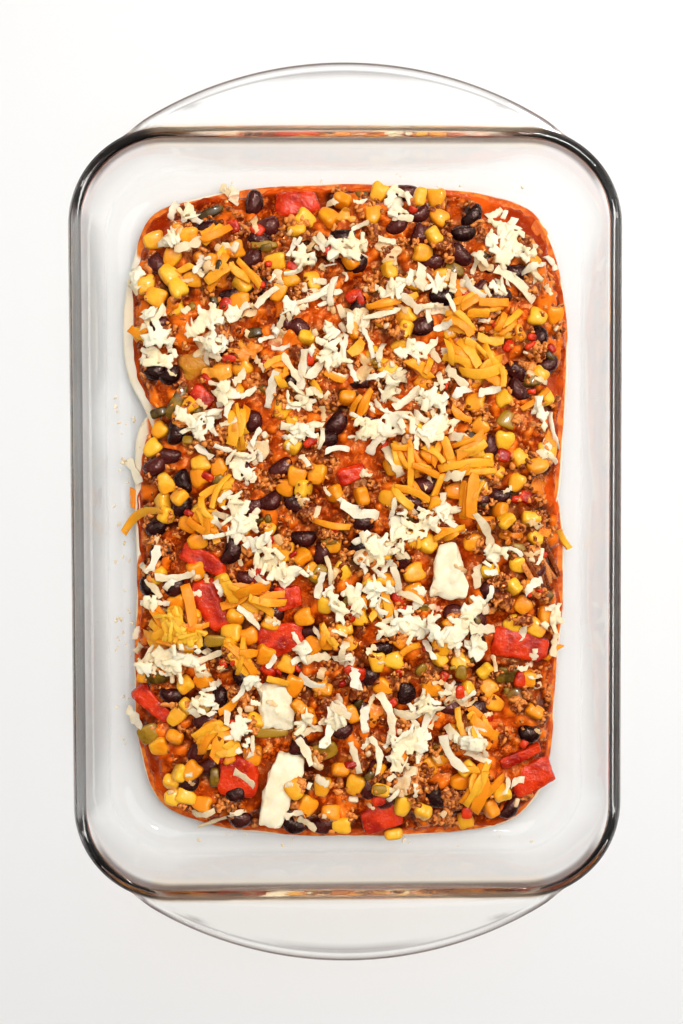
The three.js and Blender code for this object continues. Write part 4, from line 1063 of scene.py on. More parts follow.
def tortilla_soak(x, y, is_back):
    """How far sauce has soaked a tortilla: only parts of their left edges stay clean."""
    if is_back:
        clean = smoothstep(-84, -93, x) * smoothstep(124, 112, y)
        return 1 - clean
    left = smoothstep(-88, -93, x) * smoothstep(46, 36, y) * smoothstep(-26, -12, y)
    return 1 - left


# Filling
def bare_sauce(x, y):
    """1 where the sauce lies smooth, with no meat, and 0 well away from there."""
    bare = np.zeros_like(x)
    for at_x, at_y, radius in smooth_sauce:
        bare = np.maximum(bare, smoothstep(radius + 3, radius - 1, np.hypot(x - at_x, y - at_y)))
    return bare


def make_core(material):
    """The heap of sauce with its relief, over a square net that follows the heap's outline."""
    across, along = 200, 290
    u, v = np.meshgrid(np.linspace(-1, 1, across), np.linspace(-1, 1, along), indexing="ij")
    aspect = dish.half_y / dish.half_x
    angle = np.arctan2(v * aspect, u) % (2 * math.pi)
    ring = np.maximum(np.abs(u), np.abs(v))
    reach = np.interp(angle, ANGLES, heap_reaches)
    at_edge = np.stack([reach * np.cos(angle), reach * np.sin(angle)], -1)
    radius = ring * (reach + 1.3 - 0.5 * (1 + lumps(at_edge, 4, 9)) - 0.8 * (1 + lumps(at_edge, 18, 10)))
    x, y = radius * np.cos(angle), radius * np.sin(angle)
    border_top = heap_rules(x, y)[0] - heap.edge_depth + 0.25
    top = np.where(ring > 0.999, border_top, pile.at(x, y))
    bottom = np.minimum(floor_height(x, y) + tortilla.thickness * 0.6, top - 0.2)
    number = np.arange(across * along).reshape(across, along)
    a, b, c, d = number[:-1, :-1], number[1:, :-1], number[1:, 1:], number[:-1, 1:]
    upper = np.concatenate([np.stack([a, b, c], -1).reshape(-1, 3), np.stack([a, c, d], -1).reshape(-1, 3)])
    border = np.concatenate([number[:-1, 0], number[-1, :-1], number[:0:-1, -1], number[0, :0:-1]])
    offset = across * along
    i = np.arange(len(border))
    after = (i + 1) % len(border)
    wall = np.concatenate([
        np.stack([border[after], border, offset + i], 1),
        np.stack([border[after], offset + i, offset + after], 1),
    ])
    middle = offset + len(border)
    under = np.stack([np.full(len(border), middle), offset + after, offset + i], 1)
    points = np.concatenate([
        np.stack([x, y, top], -1).reshape(-1, 3),
        np.stack([x, y, bottom], -1).reshape(-1, 3)[border],
        [[0, 0, dish.floor + tortilla.thickness]],
    ])
    inside = heap_inside(points[:, 0], points[:, 1])
    shape = points, np.concatenate([upper, wall, under])
    grain = points[:, 2] - heap_top.at(points[:, 0], points[:, 1])
    meaty = smoothstep(0.3, 2.0, inside) * (1 - bare_sauce(points[:, 0], points[:, 1]))
    extra = {"edge": meaty, "grain": grain}
    return make_piece("sauce_heap", shape, material, "filling", ["filling"], extra=extra)


def superblock(template, size, power):
    """The cube template drawn in to a rounded block of this size. A higher power keeps it squarer."""
    points = template[0]
    norm = (np.abs(points) ** power).sum(axis=1) ** (1 / power)
    return points / norm[:, None] * np.array(size) / 2


def laid(points, x, y, sink, share=0.75):
    """A piece moved over a place and lowered onto the pile, sunk a little, and the pile raised by it."""
    points = points + np.array([x, y, 0])
    low = points[:, 2] < np.median(points[:, 2])
    under = pile.nearest(points[low, 0], points[low, 1]) - points[low, 2]
    points[:, 2] += np.quantile(under, share) - sink
    pile.raise_to(points)
    return points


def half_hidden(count, seed, apart):
    """Places for pieces that lie deep in the sauce between the open ones: x, y and turn."""
    draw = np.random.default_rng(seed)
    taken = kept_clear()[:, :2]
    places = []
    while len(places) < count:
        x, y = draw.uniform(-94, 94), draw.uniform(-143, 143)
        if np.hypot(*(taken - (x, y)).T).min() > apart and heap_inside(x, y) > 6:
            taken = np.concatenate([taken, [[x, y]]])
            places.append((x, y, draw.uniform(0, 180)))
    return places


bean_template = block_shape(6)
kernel_template = block_shape(6)
chunk_template = block_shape(14)
patch_template = block_shape(8)
lump_template = ball_shape(2)


def bean_points(draw):
    length, width, height = np.array(bean_size) * draw.uniform(0.9, 1.08, 3)
    points = superblock(bean_template, (length, width, height), 2.3)
    bend = draw.uniform(0.8, 2.0)
    points[:, 1] += bend * (points[:, 0] / (length / 2)) ** 2 - bend / 2
    points += 0.12 * lumps(points, 4, int(draw.integers(1e6)))[:, None] * points / 4
    return turned(points, draw.uniform(-25, 25), 0)


def make_seeds(name, points_of, template, seed, shown, sink, hidden, hidden_sinks, material):
    """Beans or kernels: those that lie open, and others that are sunk deeper between them."""
    draw = np.random.default_rng(seed)
    shapes, tones = [], []
    for number, (x, y, turn) in enumerate(shown + hidden):
        points = turned(points_of(draw), turn)
        depth = sink if number < len(shown) else draw.uniform(*hidden_sinks)
        shapes.append((laid(points, x, y, depth), template[1]))
        tones.append(draw.random())
    return make_piece(name, join(shapes, tones), material, "filling")


def kernel_points(draw):
    """A corn kernel: square and dimpled at its crown, narrow at its tip."""
    length, width, height = np.array(kernel_size) * draw.uniform(0.88, 1.08, 3)
    points = superblock(kernel_template, (length, width, height), draw.uniform(3.2, 5.0))
    along = points[:, 0] / length + 0.5
    points[:, 1] *= 0.74 + 0.28 * smoothstep(0, 0.7, along)
    points[:, 2] *= 0.8 + 0.2 * smoothstep(0, 0.6, along)
    crown = smoothstep(0.3, 0.5, points[:, 0] / length) * np.exp(-((points[:, 1] / 2) ** 2))
    points[:, 0] -= 0.8 * crown
    points += 0.1 * lumps(points, 3, int(draw.integers(1e6)))[:, None] * points / 4
    tip = draw.uniform(-20, 20) if draw.random() < 0.65 else draw.uniform(50, 80)
    return turned(turned(points, draw.uniform(-25, 25), 0), -tip, 1)


def make_green_peppers(material):
    """Thin curled bits of green pepper."""
    draw = np.random.default_rng(23)
    shapes, tones = [], []
    for x, y, length, width, turn in green_peppers:
        points = superblock(kernel_template, (length, width, 2.6), 4)
        points[:, 2] += 0.9 * np.cos(points[:, 0] / length * math.pi) - 0.45
        points[:, 1] *= 1 - 0.25 * (points[:, 0] / length + 0.5)
        points += 0.2 * lumps(points, 5, int(draw.integers(1e6)))[:, None] * points / 4
        points = turned(turned(points, draw.uniform(-14, 14), 0), turn)
        shapes.append((laid(points, x, y, 1.5), kernel_template[1]))
        tones.append(draw.random())
    return make_piece("green_pepper_bits", join(shapes, tones), material, "pepper")


def faceted(points, draw, cuts, deepest):
    """The shape with flat faces cut from it, as a knife or a break leaves."""
    size = points.max(axis=0) - points.min(axis=0)
    for _ in range(cuts):
        normal = draw.normal(size=3) / size
        normal /= np.linalg.norm(normal)
        along = points @ normal
        over = np.maximum(along - along.max() * draw.uniform(deepest, 0.96), 0)
        points = points - over[:, None] * normal
    return points


def large_piece(name, place, material, slot, power, uneven, seed, cuts, deepest):
    """One of the larger pieces, where its solid is and as large."""
    x, y, length, width, height, turn, proud, pinch = place
    points = superblock(chunk_template, (length, width, height), power)
    points = faceted(points, np.random.default_rng(seed), cuts, deepest)
    points[:, 1] *= 1 - pinch * (points[:, 0] / length + 0.5)
    shift = lumps(points, 5, seed) * uneven + lumps(points, 2.2, seed + 50) * uneven * 0.4
    points += shift[:, None] * points / (np.linalg.norm(points, axis=1)[:, None] + 1)
    z = max(
        heap_top.at(np.array([x]), np.array([y]))[0] + proud - height / 2,
        tortilla_top.at(np.array([x]), np.array([y]))[0] + height / 2 + tortilla.gap,
    )
    points = turned(points, turn) + np.array([x, y, z])
    pile.raise_to(points)
    return make_piece(name, (points, chunk_template[1]), material, slot, [name], crisp=32)


def make_large_pieces(materials):
    for i, place in enumerate(tomato_pieces):
        large_piece(f"tomato_{i + 1}", place, materials.tomato, "tomato",
                    power=8, uneven=0.35, seed=100 + i, cuts=12, deepest=0.84)
    for i, place in enumerate(pepper_pieces):
        large_piece(f"pepper_{i + 1}", place, materials.pepper_chunk, "pepper",
                    power=4, uneven=0.4, seed=200 + i, cuts=4, deepest=0.86)
    for i, place in enumerate(cheese_pieces):
        large_piece(f"cheese_chunk_{i + 1}", place, materials.white, "cheese",
                    power=9, uneven=1.0, seed=300 + i, cuts=12, deepest=0.84)


def kept_clear():
    """Places where no meat goes: x, y and radius of the pieces that lie open, and of smooth sauce."""
    return np.array([(x, y, 3.1) for x, y, _ in beans + kernels] + smooth_sauce + large_circles())


def is_free(blocked, x, y, gap, inside):
    """Whether a place is this far from the blocked circles and this far inside the heap's outline."""
    near = np.hypot(blocked[:, 0] - x, blocked[:, 1] - y) < blocked[:, 2] + gap
    return not near.any() and heap_inside(np.array(x), np.array(y)) >= inside


def crumb_points(template, size, draw):
    """One crumb of ground meat: a lumpy ball with finer grains on it, and how far each point is pushed out,
    which is used for painted shade.
    """
    stretch = [draw.uniform(0.85, 1.45), draw.uniform(0.7, 1.0), draw.uniform(0.65, 0.9)]
    points = template * size / 2 * np.array(stretch)
    seed = int(draw.integers(1e6))
    points[:, 1] += draw.uniform(-0.12, 0.12) * points[:, 0] ** 2
    rough = 0.3 * lumps(points, size * 0.42, seed) + 0.16 * lumps(points, 1.3, seed + 1)
    return turned(points * (1 + rough[:, None]), draw.uniform(0, 360)), rough


def clump_points(template, size, draw):
    """A clump of ground meat: a flat lump whose surface is fused grains, and the grains' heights, which are
    used for painted shade between them.
    """
    stretch = [draw.uniform(0.8, 1.15), draw.uniform(0.7, 1.0), draw.uniform(0.45, 0.65)]
    points = template * size / 2 * np.array(stretch)
    points *= 1 + 0.22 * lumps(points, size * 0.5, int(draw.integers(1e6)))[:, None]
    out = points / np.linalg.norm(points, axis=1)[:, None]
    centres = points[draw.integers(0, len(points), int(size * size * 0.8))]
    radii = draw.uniform(0.7, 1.25, len(centres))
    off = np.linalg.norm(points[:, None] - centres, axis=-1)
    dome = np.sqrt(np.maximum(radii**2 - off**2, 0)).max(axis=1)
    return points + out * (dome * 0.9 - 0.5)[:, None], dome


def make_clumps(material, count):
    """Larger clumps of ground meat between the other pieces."""
    draw = np.random.default_rng(28)
    template = ball_shape(4)
    blocked = kept_clear()
    shapes, tones = [], []
    tries = 0
    while len(shapes) < count and tries < 20000:
        tries += 1
        x, y, size = draw.uniform(-97, 97), draw.uniform(-146, 146), draw.uniform(6, 12)
        if not is_free(blocked, x, y, size * 0.3, 0.5 + size * 0.45):
            continue
        blocked = np.concatenate([blocked, [[x, y, size * 0.3]]])
        points, dome = clump_points(template[0], size, draw)
        points = turned(points, draw.uniform(0, 360))
        shapes.append((laid(points, x, y, size * 0.16, 0.6), template[1]))
        # Painted shade: the tone is darker between the fused grains and lighter on their tops
        tones.append(draw.uniform(-0.1, 0.5) + 1.1 * (dome - 0.5))
    return make_piece("meat_clumps", join(shapes, tones), material, "filling")


def make_beef(name, material, template, seed, count, sizes, spread, per_cluster, sink):
    """Ground meat in clusters between the other pieces."""
    draw = np.random.default_rng(seed)
    blocked = kept_clear()
    shapes, tones = [], []
    while len(shapes) < count:
        x, y = draw.uniform(-100, 100), draw.uniform(-148, 148)
        tone = draw.random()
        for _ in range(draw.integers(1, per_cluster + 1)):
            size = draw.uniform(*sizes)
            at_x, at_y = x + draw.normal(0, spread), y + draw.normal(0, spread)
            if not is_free(blocked, at_x, at_y, size * 0.25, 0.3 + size / 2):
                continue
            points, rough = crumb_points(template[0], size, draw)
            shapes.append((laid(points, at_x, at_y, size * sink, 0.5), template[1]))
            # Painted shade: the tone is darker in a crumb's dents and lighter on its lumps
            tones.append(tone + draw.normal(0, 0.2) + 1.4 * rough)
    return make_piece(name, join(shapes, tones), material, "filling")


def make_bits(name, material, slot, seed, count, sizes, thickness, sink):
    """Small cut pieces, such as onion, scattered over the heap."""
    template = block_shape(4)
    draw = np.random.default_rng(seed)
    blocked = kept_clear()
    shapes, tones = [], []
    while len(shapes) < count:
        x, y = draw.uniform(-98, 98), draw.uniform(-146, 146)
        if not is_free(blocked, x, y, 0, 5):
            continue
        length = draw.uniform(*sizes)
        size = (length, length * draw.uniform(0.5, 0.95), thickness * draw.uniform(0.8, 1.2))
        points = superblock(template, size, 4)
        points[:, 1] *= 1 - 0.4 * draw.random() * (points[:, 0] / length + 0.5)
        points += 0.25 * lumps(points, length * 0.5, int(draw.integers(1e6)))[:, None] * points / length
        points = turned(turned(points, draw.uniform(-25, 25), 0), draw.uniform(0, 360))
        shapes.append((laid(points, x, y, sink, 0.6), template[1]))
        tones.append(draw.random())
    return make_piece(name, join(shapes, tones), material, slot)


def make_melted(name, patches, material, seed):
    """Cheese that has half melted into the sauce, as low uneven patches."""
    draw = np.random.default_rng(seed)
    shapes, tones = [], []
    for x, y, length, width, turn in patches:
        points = superblock(patch_template, (length, width, 1.1), 2.0)
        points *= 0.9 + 0.5 * lumps(points, 3.4, int(draw.integers(1e6)))[:, None] * np.array([1, 1, 0])
        points = turned(points, turn) + np.array([x, y, 0])
        under = pile.at(points[:, 0], points[:, 1])
        points[:, 2] += 0.7 * under + 0.3 * np.quantile(under, 0.5) + 0.1
        pile.raise_to(points)
        shapes.append((points, patch_template[1]))
        tones.append(draw.random())
    return make_piece(name, join(shapes, tones), material, "cheese")


def resting(x, y, bed, most):
    """Height of the pile under points, but no more than this above the bed."""
    return np.minimum(pile.nearest(x, y), bed.nearest(x, y) + most)


def strand_shape(start, end, width, thickness, draw, stations=8, around=8, ragged=0.12, taper=0.12,
                 press=0.45, bed=heap_top, most=8.0):
    """A shred of cheese from one place to another, bent over what lies under it."""
    start, end = np.array(start, float), np.array(end, float)
    t = np.linspace(0, 1, stations)
    length = np.linalg.norm(end - start)
    direction = (end - start) / max(length, 1e-6)
    side = np.array([-direction[1], direction[0]])
    bow = draw.normal(0, 0.07) * length
    line = start + np.outer(t, end - start) + np.outer(bow * np.sin(math.pi * t), side)
    floor = resting(line[:, 0], line[:, 1], bed, most)
    spread = np.maximum(floor, 0.5 * (np.roll(floor, 1) + np.roll(floor, -1)))
    spread[0], spread[-1] = floor[0], floor[-1]
    height = spread.copy()
    height[1:-1] = (spread[:-2] + 2 * spread[1:-1] + spread[2:]) / 4
    stiff = np.polyval(np.polyfit(t, height, 2), t)
    stiff += np.quantile(height - stiff, 0.75)
    height = 0.35 * height + 0.65 * stiff
    ends = 1 - taper * np.abs(2 * t - 1) ** 3
    slant = draw.normal(0, 0.3) * width
    widths = width * ends * (1 + ragged * draw.normal(size=stations))
    thick = thickness * (0.75 + 0.25 * ends) * (1 + 0.5 * ragged * draw.normal(size=stations))
    roll = draw.normal(0, 0.22) + draw.normal(0, 0.25) * (t - 0.5)
    angles = (np.arange(around) + 0.5) * 2 * math.pi / around
    across = np.sign(np.cos(angles)) * np.abs(np.cos(angles)) ** 0.4
    up = np.sign(np.sin(angles)) * np.abs(np.sin(angles)) ** 0.4
    flat = widths[:, None] / 2 * across
    deep = thick[:, None] / 2 * up
    offset_side = flat * np.cos(roll)[:, None] - deep * np.sin(roll)[:, None]
    offset_up = flat * np.sin(roll)[:, None] + deep * np.cos(roll)[:, None]
    rings = np.empty((stations, around, 3))
    rings[..., :2] = line[:, None, :] + offset_side[..., None] * side
    cut = slant * (np.abs(2 * t - 1) ** 4)[:, None] * offset_side / width
    rings[..., :2] += cut[..., None] * direction
    rings[..., 2] = (height + thickness * press)[:, None] + offset_up
    ends_out = direction * width * 0.05
    first = np.append(line[0] - ends_out, rings[0, :, 2].mean())
    last = np.append(line[-1] + ends_out, rings[-1, :, 2].mean())
    shape = closed_tube(rings, first, last)
    pile.raise_to(shape[0])
    return shape


def strand_ends(middle, heading, length):
    """Both ends of a straight shred round its middle."""
    half = np.array([math.cos(heading), math.sin(heading)]) * length / 2
    return middle - half, middle + half


def on_oval(angle, length, width):
    """A point on the edge of an oval."""
    return np.array([[math.cos(angle) * length / 2, math.sin(angle) * width / 2, 0]])


def scattered_strands(places, seed, most):
    """Single shreds dropped round heaps or patches: some beside each."""
    draw = np.random.default_rng(seed)
    strands = []
    for x, y, length, width, turn in places:
        for _ in range(draw.integers(1, most + 1)):
            out = on_oval(draw.uniform(0, 2 * math.pi), length, width)
            middle = np.array([x, y]) + turned(out, turn)[0][:2] * draw.uniform(0.9, 1.5)
            start, end = strand_ends(middle, draw.uniform(0, math.pi), draw.uniform(4, 10))
            if heap_inside(*middle) > 4:
                strands.append((*start, *end, draw.uniform(1.8, 3.2)))
    return strands


def strewn_strands(seed, count):
    """Short shreds all over the heap: both ends and the width of each."""
    draw = np.random.default_rng(seed)
    strands = []
    while len(strands) < count:
        middle = draw.uniform((-94, -144), (94, 144))
        start, end = strand_ends(middle, draw.uniform(0, math.pi), draw.uniform(3, 8))
        if heap_inside(*middle) > 6:
            strands.append((*start, *end, draw.uniform(1.6, 3.2)))
    return strands


def make_strands(name, strands, material, seed, thickness, **how):
    """Single shreds of cheese, each from one place to another."""
    draw = np.random.default_rng(seed)
    shapes, tones = [], []
    for x1, y1, x2, y2, width in strands:
        thick = thickness * draw.uniform(0.8, 1.2)
        shapes.append(strand_shape((x1, y1), (x2, y2), width, thick, draw, **how))
        tones.append(draw.random())
    return make_piece(name, join(shapes, tones), material, "cheese", crisp=60)


def bunch_strands(bunches, seed, per_area=0.035):
    """More strands in each bunch, roughly along it."""
    draw = np.random.default_rng(seed)
    strands = []
    for x, y, length, width, turn in bunches:
        for _ in range(int(max(2, length * width * per_area))):
            angle = math.radians(turn + draw.normal(0, 22))
            half = draw.uniform(0.25, 0.5) * length
            at_x = x + draw.uniform(-0.3, 0.3) * length
            at_y = y + draw.uniform(-0.5, 0.5) * width
            dx, dy = half * math.cos(angle), half * math.sin(angle)
            strands.append((at_x - dx, at_y - dy, at_x + dx, at_y + dy, draw.uniform(2.2, 4.4)))
    return strands


def flake_shape(place, size, turn, draw, bed, lift, around=12):
    """A torn flake of cheese with uneven sides, lifted over the bed and filled down to it."""
    length, width, thickness = size
    square = np.array([(1, -0.45), (1, 0.45), (0.94, 1), (0.4, 1), (-0.4, 1), (-0.94, 1)])
    square = np.concatenate([square, -square])
    outline = square * (1 + draw.uniform(-0.3, 0.1, (around, 2)))
    outline[:, 1] *= 1 - draw.uniform(0, 0.35) ** 1.5 * (outline[:, 0] + 1)
    outline = outline * np.array([length, width]) / 2
    outline[:, 0] += outline[:, 1] * draw.normal(0, 0.3)
    outline = turned(np.append(outline, np.zeros((around, 1)), 1), turn)
    under = bed.nearest(place[0] + outline[:, 0], place[1] + outline[:, 1])
    level = 0.15 * under + 0.85 * np.quantile(under, 0.6) + lift + outline[:, :2] @ draw.normal(0, 0.09, 2)
    middle = level.mean()
    rings = np.empty((4, around, 3))
    depth = -lift - 0.4
    for ring, (scale, height) in enumerate(((0.94, depth), (1.0, 0.3), (0.98, 0.75), (0.86, 1.0))):
        rings[ring, :, :2] = np.array(place) + outline[:, :2] * scale
        rings[ring, :, 2] = middle + (level - middle) * scale + (height if ring == 0 else thickness * height)
    rings[1:, :, 2] += draw.normal(0, 0.07, (3, around))
    shape = closed_tube(rings, (*place, middle + depth), (*place, middle + thickness * 1.05))
    pile.raise_to(shape[0])
    return shape


def mound_points(place, draw, bed, rise):
    """The mass in the middle of a heap: a low mound with an uneven outline."""
    x, y, length, width, turn = place
    points = lump_template[0] * np.array([length * 0.33, width * 0.33, 1])
    points[:, :2] *= 1 + 0.5 * lumps(points, width * 0.5, int(draw.integers(1e6)))[:, None]
    points = turned(points, turn) + np.array([x, y, 0])
    under = bed.at(points[:, 0], points[:, 1])
    up = points[:, 2] > 0
    dome = rise * np.sqrt(np.maximum(points[:, 2], 0))
    points[:, 2] = 0.4 * under + 0.6 * np.quantile(under, 0.6) + np.where(up, dome, -0.4)
    pile.raise_to(points)
    return points


def heap_of_shreds(place, draw, bed, per_area, rise):
    """Torn flakes and grated shreds tangled within an uneven oval, highest in its middle."""
    x, y, length, width, turn = place
    gaps = int(draw.integers(1e6))
    shapes = [(mound_points(place, draw, bed, rise * 0.8), lump_template[1])]
    for number in range(int(max(7, length * width * per_area))):
        radius, angle = 1.1 * draw.random() ** 0.55, draw.uniform(0, 2 * math.pi)
        off = turned(on_oval(angle, length, width) * radius, turn)[0]
        middle = np.array([x, y]) + off[:2]
        if number > 6 and lumps(middle, 6, gaps) < -0.55:
            continue
        most = 0.4 + rise * (1 - 0.7 * min(1, radius) ** 2)
        if draw.random() < 0.68:
            size = (draw.uniform(2.8, 7.4), draw.uniform(1.8, 4.2), draw.uniform(0.8, 1.3))
            flake_turn = draw.uniform(0, 360)
            shapes.append(flake_shape(middle, size, flake_turn, draw, bed, most * draw.uniform(0.2, 0.9)))
        else:
            ends = strand_ends(middle, draw.uniform(0, 2 * math.pi), draw.uniform(3.2, 9))
            shapes.append(strand_shape(
                *ends, draw.uniform(1.1, 2.3), draw.uniform(0.8, 1.2), draw,
                stations=6, around=6, ragged=0.25, taper=0.5, press=0.3, bed=bed, most=most,
            ))
    return shapes


def make_white_heaps(material):
    """Heaps of torn white cheese."""
    draw = np.random.default_rng(31)
    bed = pile.copy()
    shapes = []
    for x, y, length, width, turn in white_heaps:
        place = (x, y, length * shred_share, width * shred_share, turn)
        shapes.extend(heap_of_shreds(place, draw, bed, per_area=0.125, rise=1.5))
    shape = fused(join(shapes), cell=0.3, worn=1, kept=0.15)
    return make_piece("white_cheese_flakes", shape, material, "cheese")


def make_cheddar_mound(material):
    """The heap of torn cheddar flakes near the dish's left side."""
    draw = np.random.default_rng(35)
    bed = pile.copy()
    shapes = []
    for place in cheddar_heaps:
        shapes.extend(heap_of_shreds(place, draw, bed, per_area=0.13, rise=3.4))
    tones = draw.uniform(0.4, 1, len(shapes))
    return make_piece("cheddar_flakes", join(shapes, tones), material, "cheese", crisp=62)


def make_shredded_meat(material):
    """The one large piece of meat, a curved bundle of fibres."""
    draw = np.random.default_rng(36)
    x, y, length, width, turn = shredded_meat
    heading = math.radians(turn)
    side = np.array([-math.sin(heading), math.cos(heading)])
    shapes = []
    for share in np.linspace(-0.5, 0.5, 8):
        middle = np.array([x, y]) + side * share * width
        ends = strand_ends(middle, heading, 2 * length * draw.uniform(0.38, 0.5))
        shapes.append(strand_shape(*ends, 2.7, 2.2, draw, ragged=0.1, taper=0.4, most=3))
    return make_piece("shredded_meat", join(shapes, draw.random(len(shapes))), material, "filling")


def make_fallen_crumbs(material):
    """Crumbs of cheese on the glass beside the food."""
    draw = np.random.default_rng(37)
    shapes = []
    while len(shapes) < 70:
        x = draw.uniform(-106, -93) if draw.random() < 0.7 else draw.uniform(-90, 90)
        y = draw.uniform(-110, 60) if x < -92 else draw.choice((-1, 1)) * draw.uniform(147, 156)
        beside = inside_sheets.nearest(np.array(x), np.array(y)) < -1
        if beside:
            points, _ = crumb_points(lump_template[0], draw.uniform(0.6, 1.7), draw)
            shapes.append((laid(points, x, y, 0, 0.5), lump_template[1]))
    return make_piece("fallen_crumbs", join(shapes, draw.random(len(shapes))), material, "cheese")


# Stage, light and camera
def make_floor():
    """The pale table that the dish stands on, far larger than the view."""
    material = Material("pale_table", Roughness=0.6)
    material.set(Base_Color=material.mix(material.noise(3, 2), (0.80, 0.80, 0.80), (0.82, 0.82, 0.82)))
    bpy.ops.mesh.primitive_plane_add(size=16, location=(0, 0, -0.0003))
    floor = bpy.context.object
    floor.name = "table_top"
    floor.data.materials.append(material.data)


def area_light(name, place, size, watts, colour):
    data = bpy.data.lights.new(name, "AREA")
    data.shape = "DISK"
    data.size = size
    data.energy = watts
    data.color = colour
    lamp = bpy.data.objects.new(name, data)
    lamp.location = place
    lamp.rotation_euler = (-lamp.location).to_track_quat("-Z", "Y").to_euler()
    bpy.context.scene.collection.objects.link(lamp)


def make_world():
    """Soft white light from above, and grey, warm or dark near the horizon, which draws the glass's edges."""
    world = bpy.data.worlds.new("studio")
    world.use_nodes = True
    tree = world.node_tree

    def add(kind, *inputs, **settings):
        node = tree.nodes.new(kind)
        for name, value in settings.items():
            setattr(node, name, value)
        for number, value in enumerate(inputs):
            if isinstance(value, bpy.types.NodeSocket):
                tree.links.new(value, node.inputs[number])
            else:
                node.inputs[number].default_value = value
        return node

    place = add("ShaderNodeTexCoord").outputs["Generated"]
    parts = add("ShaderNodeSeparateXYZ", place).outputs
    x_square = add("ShaderNodeMath", parts["X"], parts["X"], operation="MULTIPLY").outputs[0]
    y_square = add("ShaderNodeMath", parts["Y"], parts["Y"], operation="MULTIPLY").outputs[0]
    flat = add("ShaderNodeMath", x_square, y_square, operation="ADD").outputs[0]
    sideways = add("ShaderNodeMath", x_square, flat, operation="DIVIDE").outputs[0]
    around = add("ShaderNodeValToRGB", sideways)
    stops = around.color_ramp.elements
    stops[0].position, stops[0].color = 0.0, world_light.ends
    stops[1].position, stops[1].color = 1.0, world_light.sides
    stops.new(world_light.ends_to).color = world_light.ends
    stops.new(world_light.corners_from).color = world_light.corners
    stops.new(world_light.corners_to).color = world_light.corners
    low, high = world_light.horizon_to, world_light.above_from
    climb = add("ShaderNodeMapRange", parts["Z"], low, high, interpolation_type="SMOOTHSTEP").outputs[0]
    sky = add("ShaderNodeMix", data_type="RGBA")
    tree.links.new(climb, sky.inputs["Factor"])
    tree.links.new(around.outputs["Color"], sky.inputs[6])
    sky.inputs[7].default_value = world_light.above
    seen = add("ShaderNodeMix", data_type="RGBA")
    tree.links.new(add("ShaderNodeLightPath").outputs["Is Camera Ray"], seen.inputs["Factor"])
    tree.links.new(sky.outputs[2], seen.inputs[6])
    seen.inputs[7].default_value = world_light.seen
    tree.links.new(seen.outputs[2], tree.nodes["Background"].inputs["Color"])
    mirrored = add("ShaderNodeLightPath").outputs["Is Glossy Ray"]
    dimmed = add("ShaderNodeMapRange", mirrored, 0.0, 1.0, 1.0, world_light.mirrored).outputs[0]
    tree.links.new(dimmed, tree.nodes["Background"].inputs["Strength"])
    bpy.context.scene.world = world


def make_camera():
    data = bpy.data.cameras.new("overhead")
    data.sensor_width = 36
    data.lens = camera_sizes.lens
    data.clip_end = 100
    camera = bpy.data.objects.new("overhead", data)
    camera.location = [value * METRES for value in camera_sizes.place]
    camera.rotation_euler = camera_sizes.tilt
    bpy.context.scene.collection.objects.link(camera)
    bpy.context.scene.camera = camera


make_camera()
make_floor()
make_world()
for lamp in lamps:
    area_light(*lamp)
bpy.data.objects["glints"].visible_diffuse = False

materials = Named(
    glass=glass_material(),
    tortilla=tortilla_material(),
    sauce=sauce_material(),
    beef=beef_material(),
    bean=bean_material(),
    corn=corn_material(),
    **{title: cheese_material(name, *look) for title, (name, *look) in cheese_looks.items()},
    pepper=pepper_material(),
    tomato=tomato_material("tomato_flesh", (0.74, 0.052, 0.006), (0.36, 0.009, 0.001), (0.90, 0.24, 0.06)),
    pepper_chunk=tomato_material("cooked_pepper", (0.62, 0.26, 0.02), (0.45, 0.10, 0.01), (0.80, 0.36, 0.05)),
)

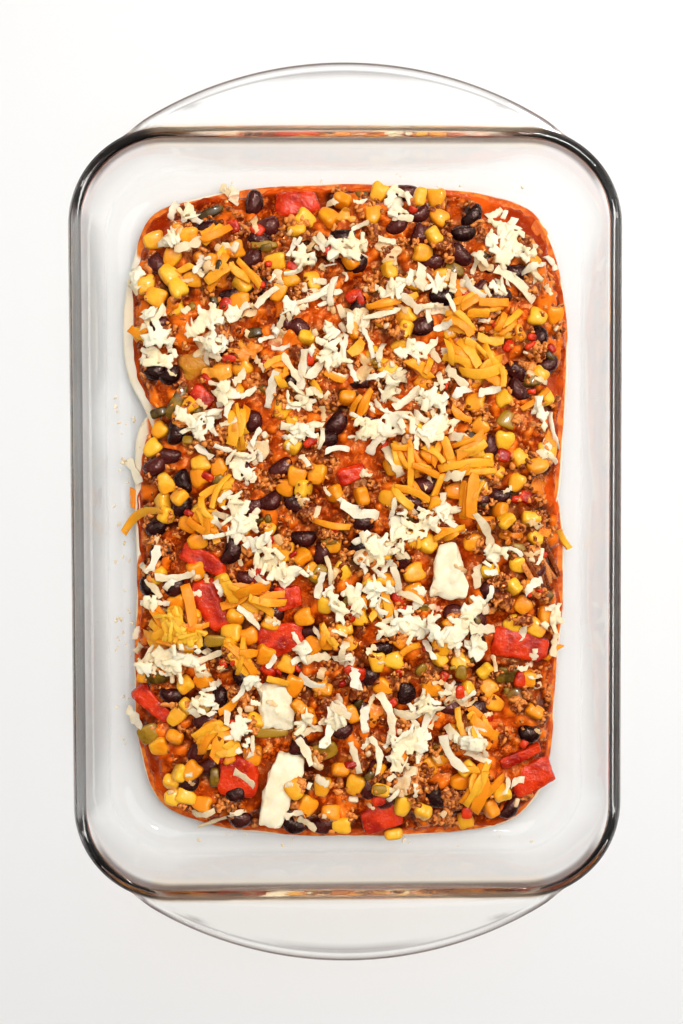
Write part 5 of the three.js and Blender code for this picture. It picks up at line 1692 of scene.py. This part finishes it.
make_dish(materials.glass)
make_tortilla("tortilla_sheet_front", front_edge, front_centre, materials.tortilla, is_back=False)
make_tortilla("tortilla_sheet_back", back_edge, back_centre, materials.tortilla, is_back=True)
make_core(materials.sauce)
make_large_pieces(materials)
make_seeds(
    "black_beans", bean_points, bean_template, seed=21, shown=beans, sink=2.6,
    hidden=half_hidden(count=36, seed=51, apart=7), hidden_sinks=(3.6, 4.8), material=materials.bean,
)
make_seeds(
    "corn_kernels", kernel_points, kernel_template, seed=22, shown=kernels, sink=1.9,
    hidden=half_hidden(count=124, seed=52, apart=5.4), hidden_sinks=(2.6, 3.8), material=materials.corn,
)
make_green_peppers(materials.pepper)
make_clumps(materials.beef, count=90)
make_beef(
    "ground_beef", materials.beef, lump_template,
    seed=24, count=1200, sizes=(2.0, 4.0), spread=2.2, per_cluster=9, sink=0.4,
)
make_melted("melted_cheese", melted_patches, materials.melted, seed=33)
under_bunches = [(x, y, length * 0.7, width * 0.8, turn) for x, y, length, width, turn in cheddar_bunches]
make_melted("melted_cheddar", under_bunches + cheddar_films, materials.melted_cheddar, seed=34)
make_shredded_meat(materials.beef)
make_bits(
    "onion_bits", materials.onion, "filling",
    seed=25, count=70, sizes=(2.5, 5.5), thickness=2.0, sink=0.7,
)
make_bits(
    "tomato_bits", materials.tomato, "tomato",
    seed=26, count=80, sizes=(3, 7.5), thickness=2.6, sink=0.9,
)
make_bits(
    "pepper_bits", materials.pepper, "pepper",
    seed=29, count=44, sizes=(3, 6.5), thickness=2.2, sink=0.8,
)
make_beef(
    "beef_crumbs", materials.beef, lump_template,
    seed=27, count=1200, sizes=(1.4, 2.6), spread=3.0, per_cluster=8, sink=0.3,
)
# Painted shade: the hollows between pieces are marked here, and the pieces' materials darken there
paint_hollow_shade()
soaked = strewn_strands(seed=47, count=150)
make_strands("soaked_cheese_shreds", soaked, materials.melted, seed=48, thickness=1.0, ragged=0.3, press=-0.2)
all_cheddar = bunch_strands(cheddar_bunches, seed=43) + cheddar_strands
make_strands("cheddar_strands", all_cheddar, materials.cheddar, seed=42, thickness=1.7, ragged=0.08)
all_pale = scattered_strands(white_heaps, seed=45, most=4)
all_pale += scattered_strands(melted_patches, seed=46, most=5) + pale_strands
make_strands("pale_cheese_strands", all_pale, materials.pale, seed=41, thickness=1.0, ragged=0.2)
make_cheddar_mound(materials.cheddar_flake)
make_white_heaps(materials.white)
make_fallen_crumbs(materials.pale)

bpy.context.scene.view_settings.view_transform = "Standard"
bpy.context.scene.view_settings.look = "Medium High Contrast"
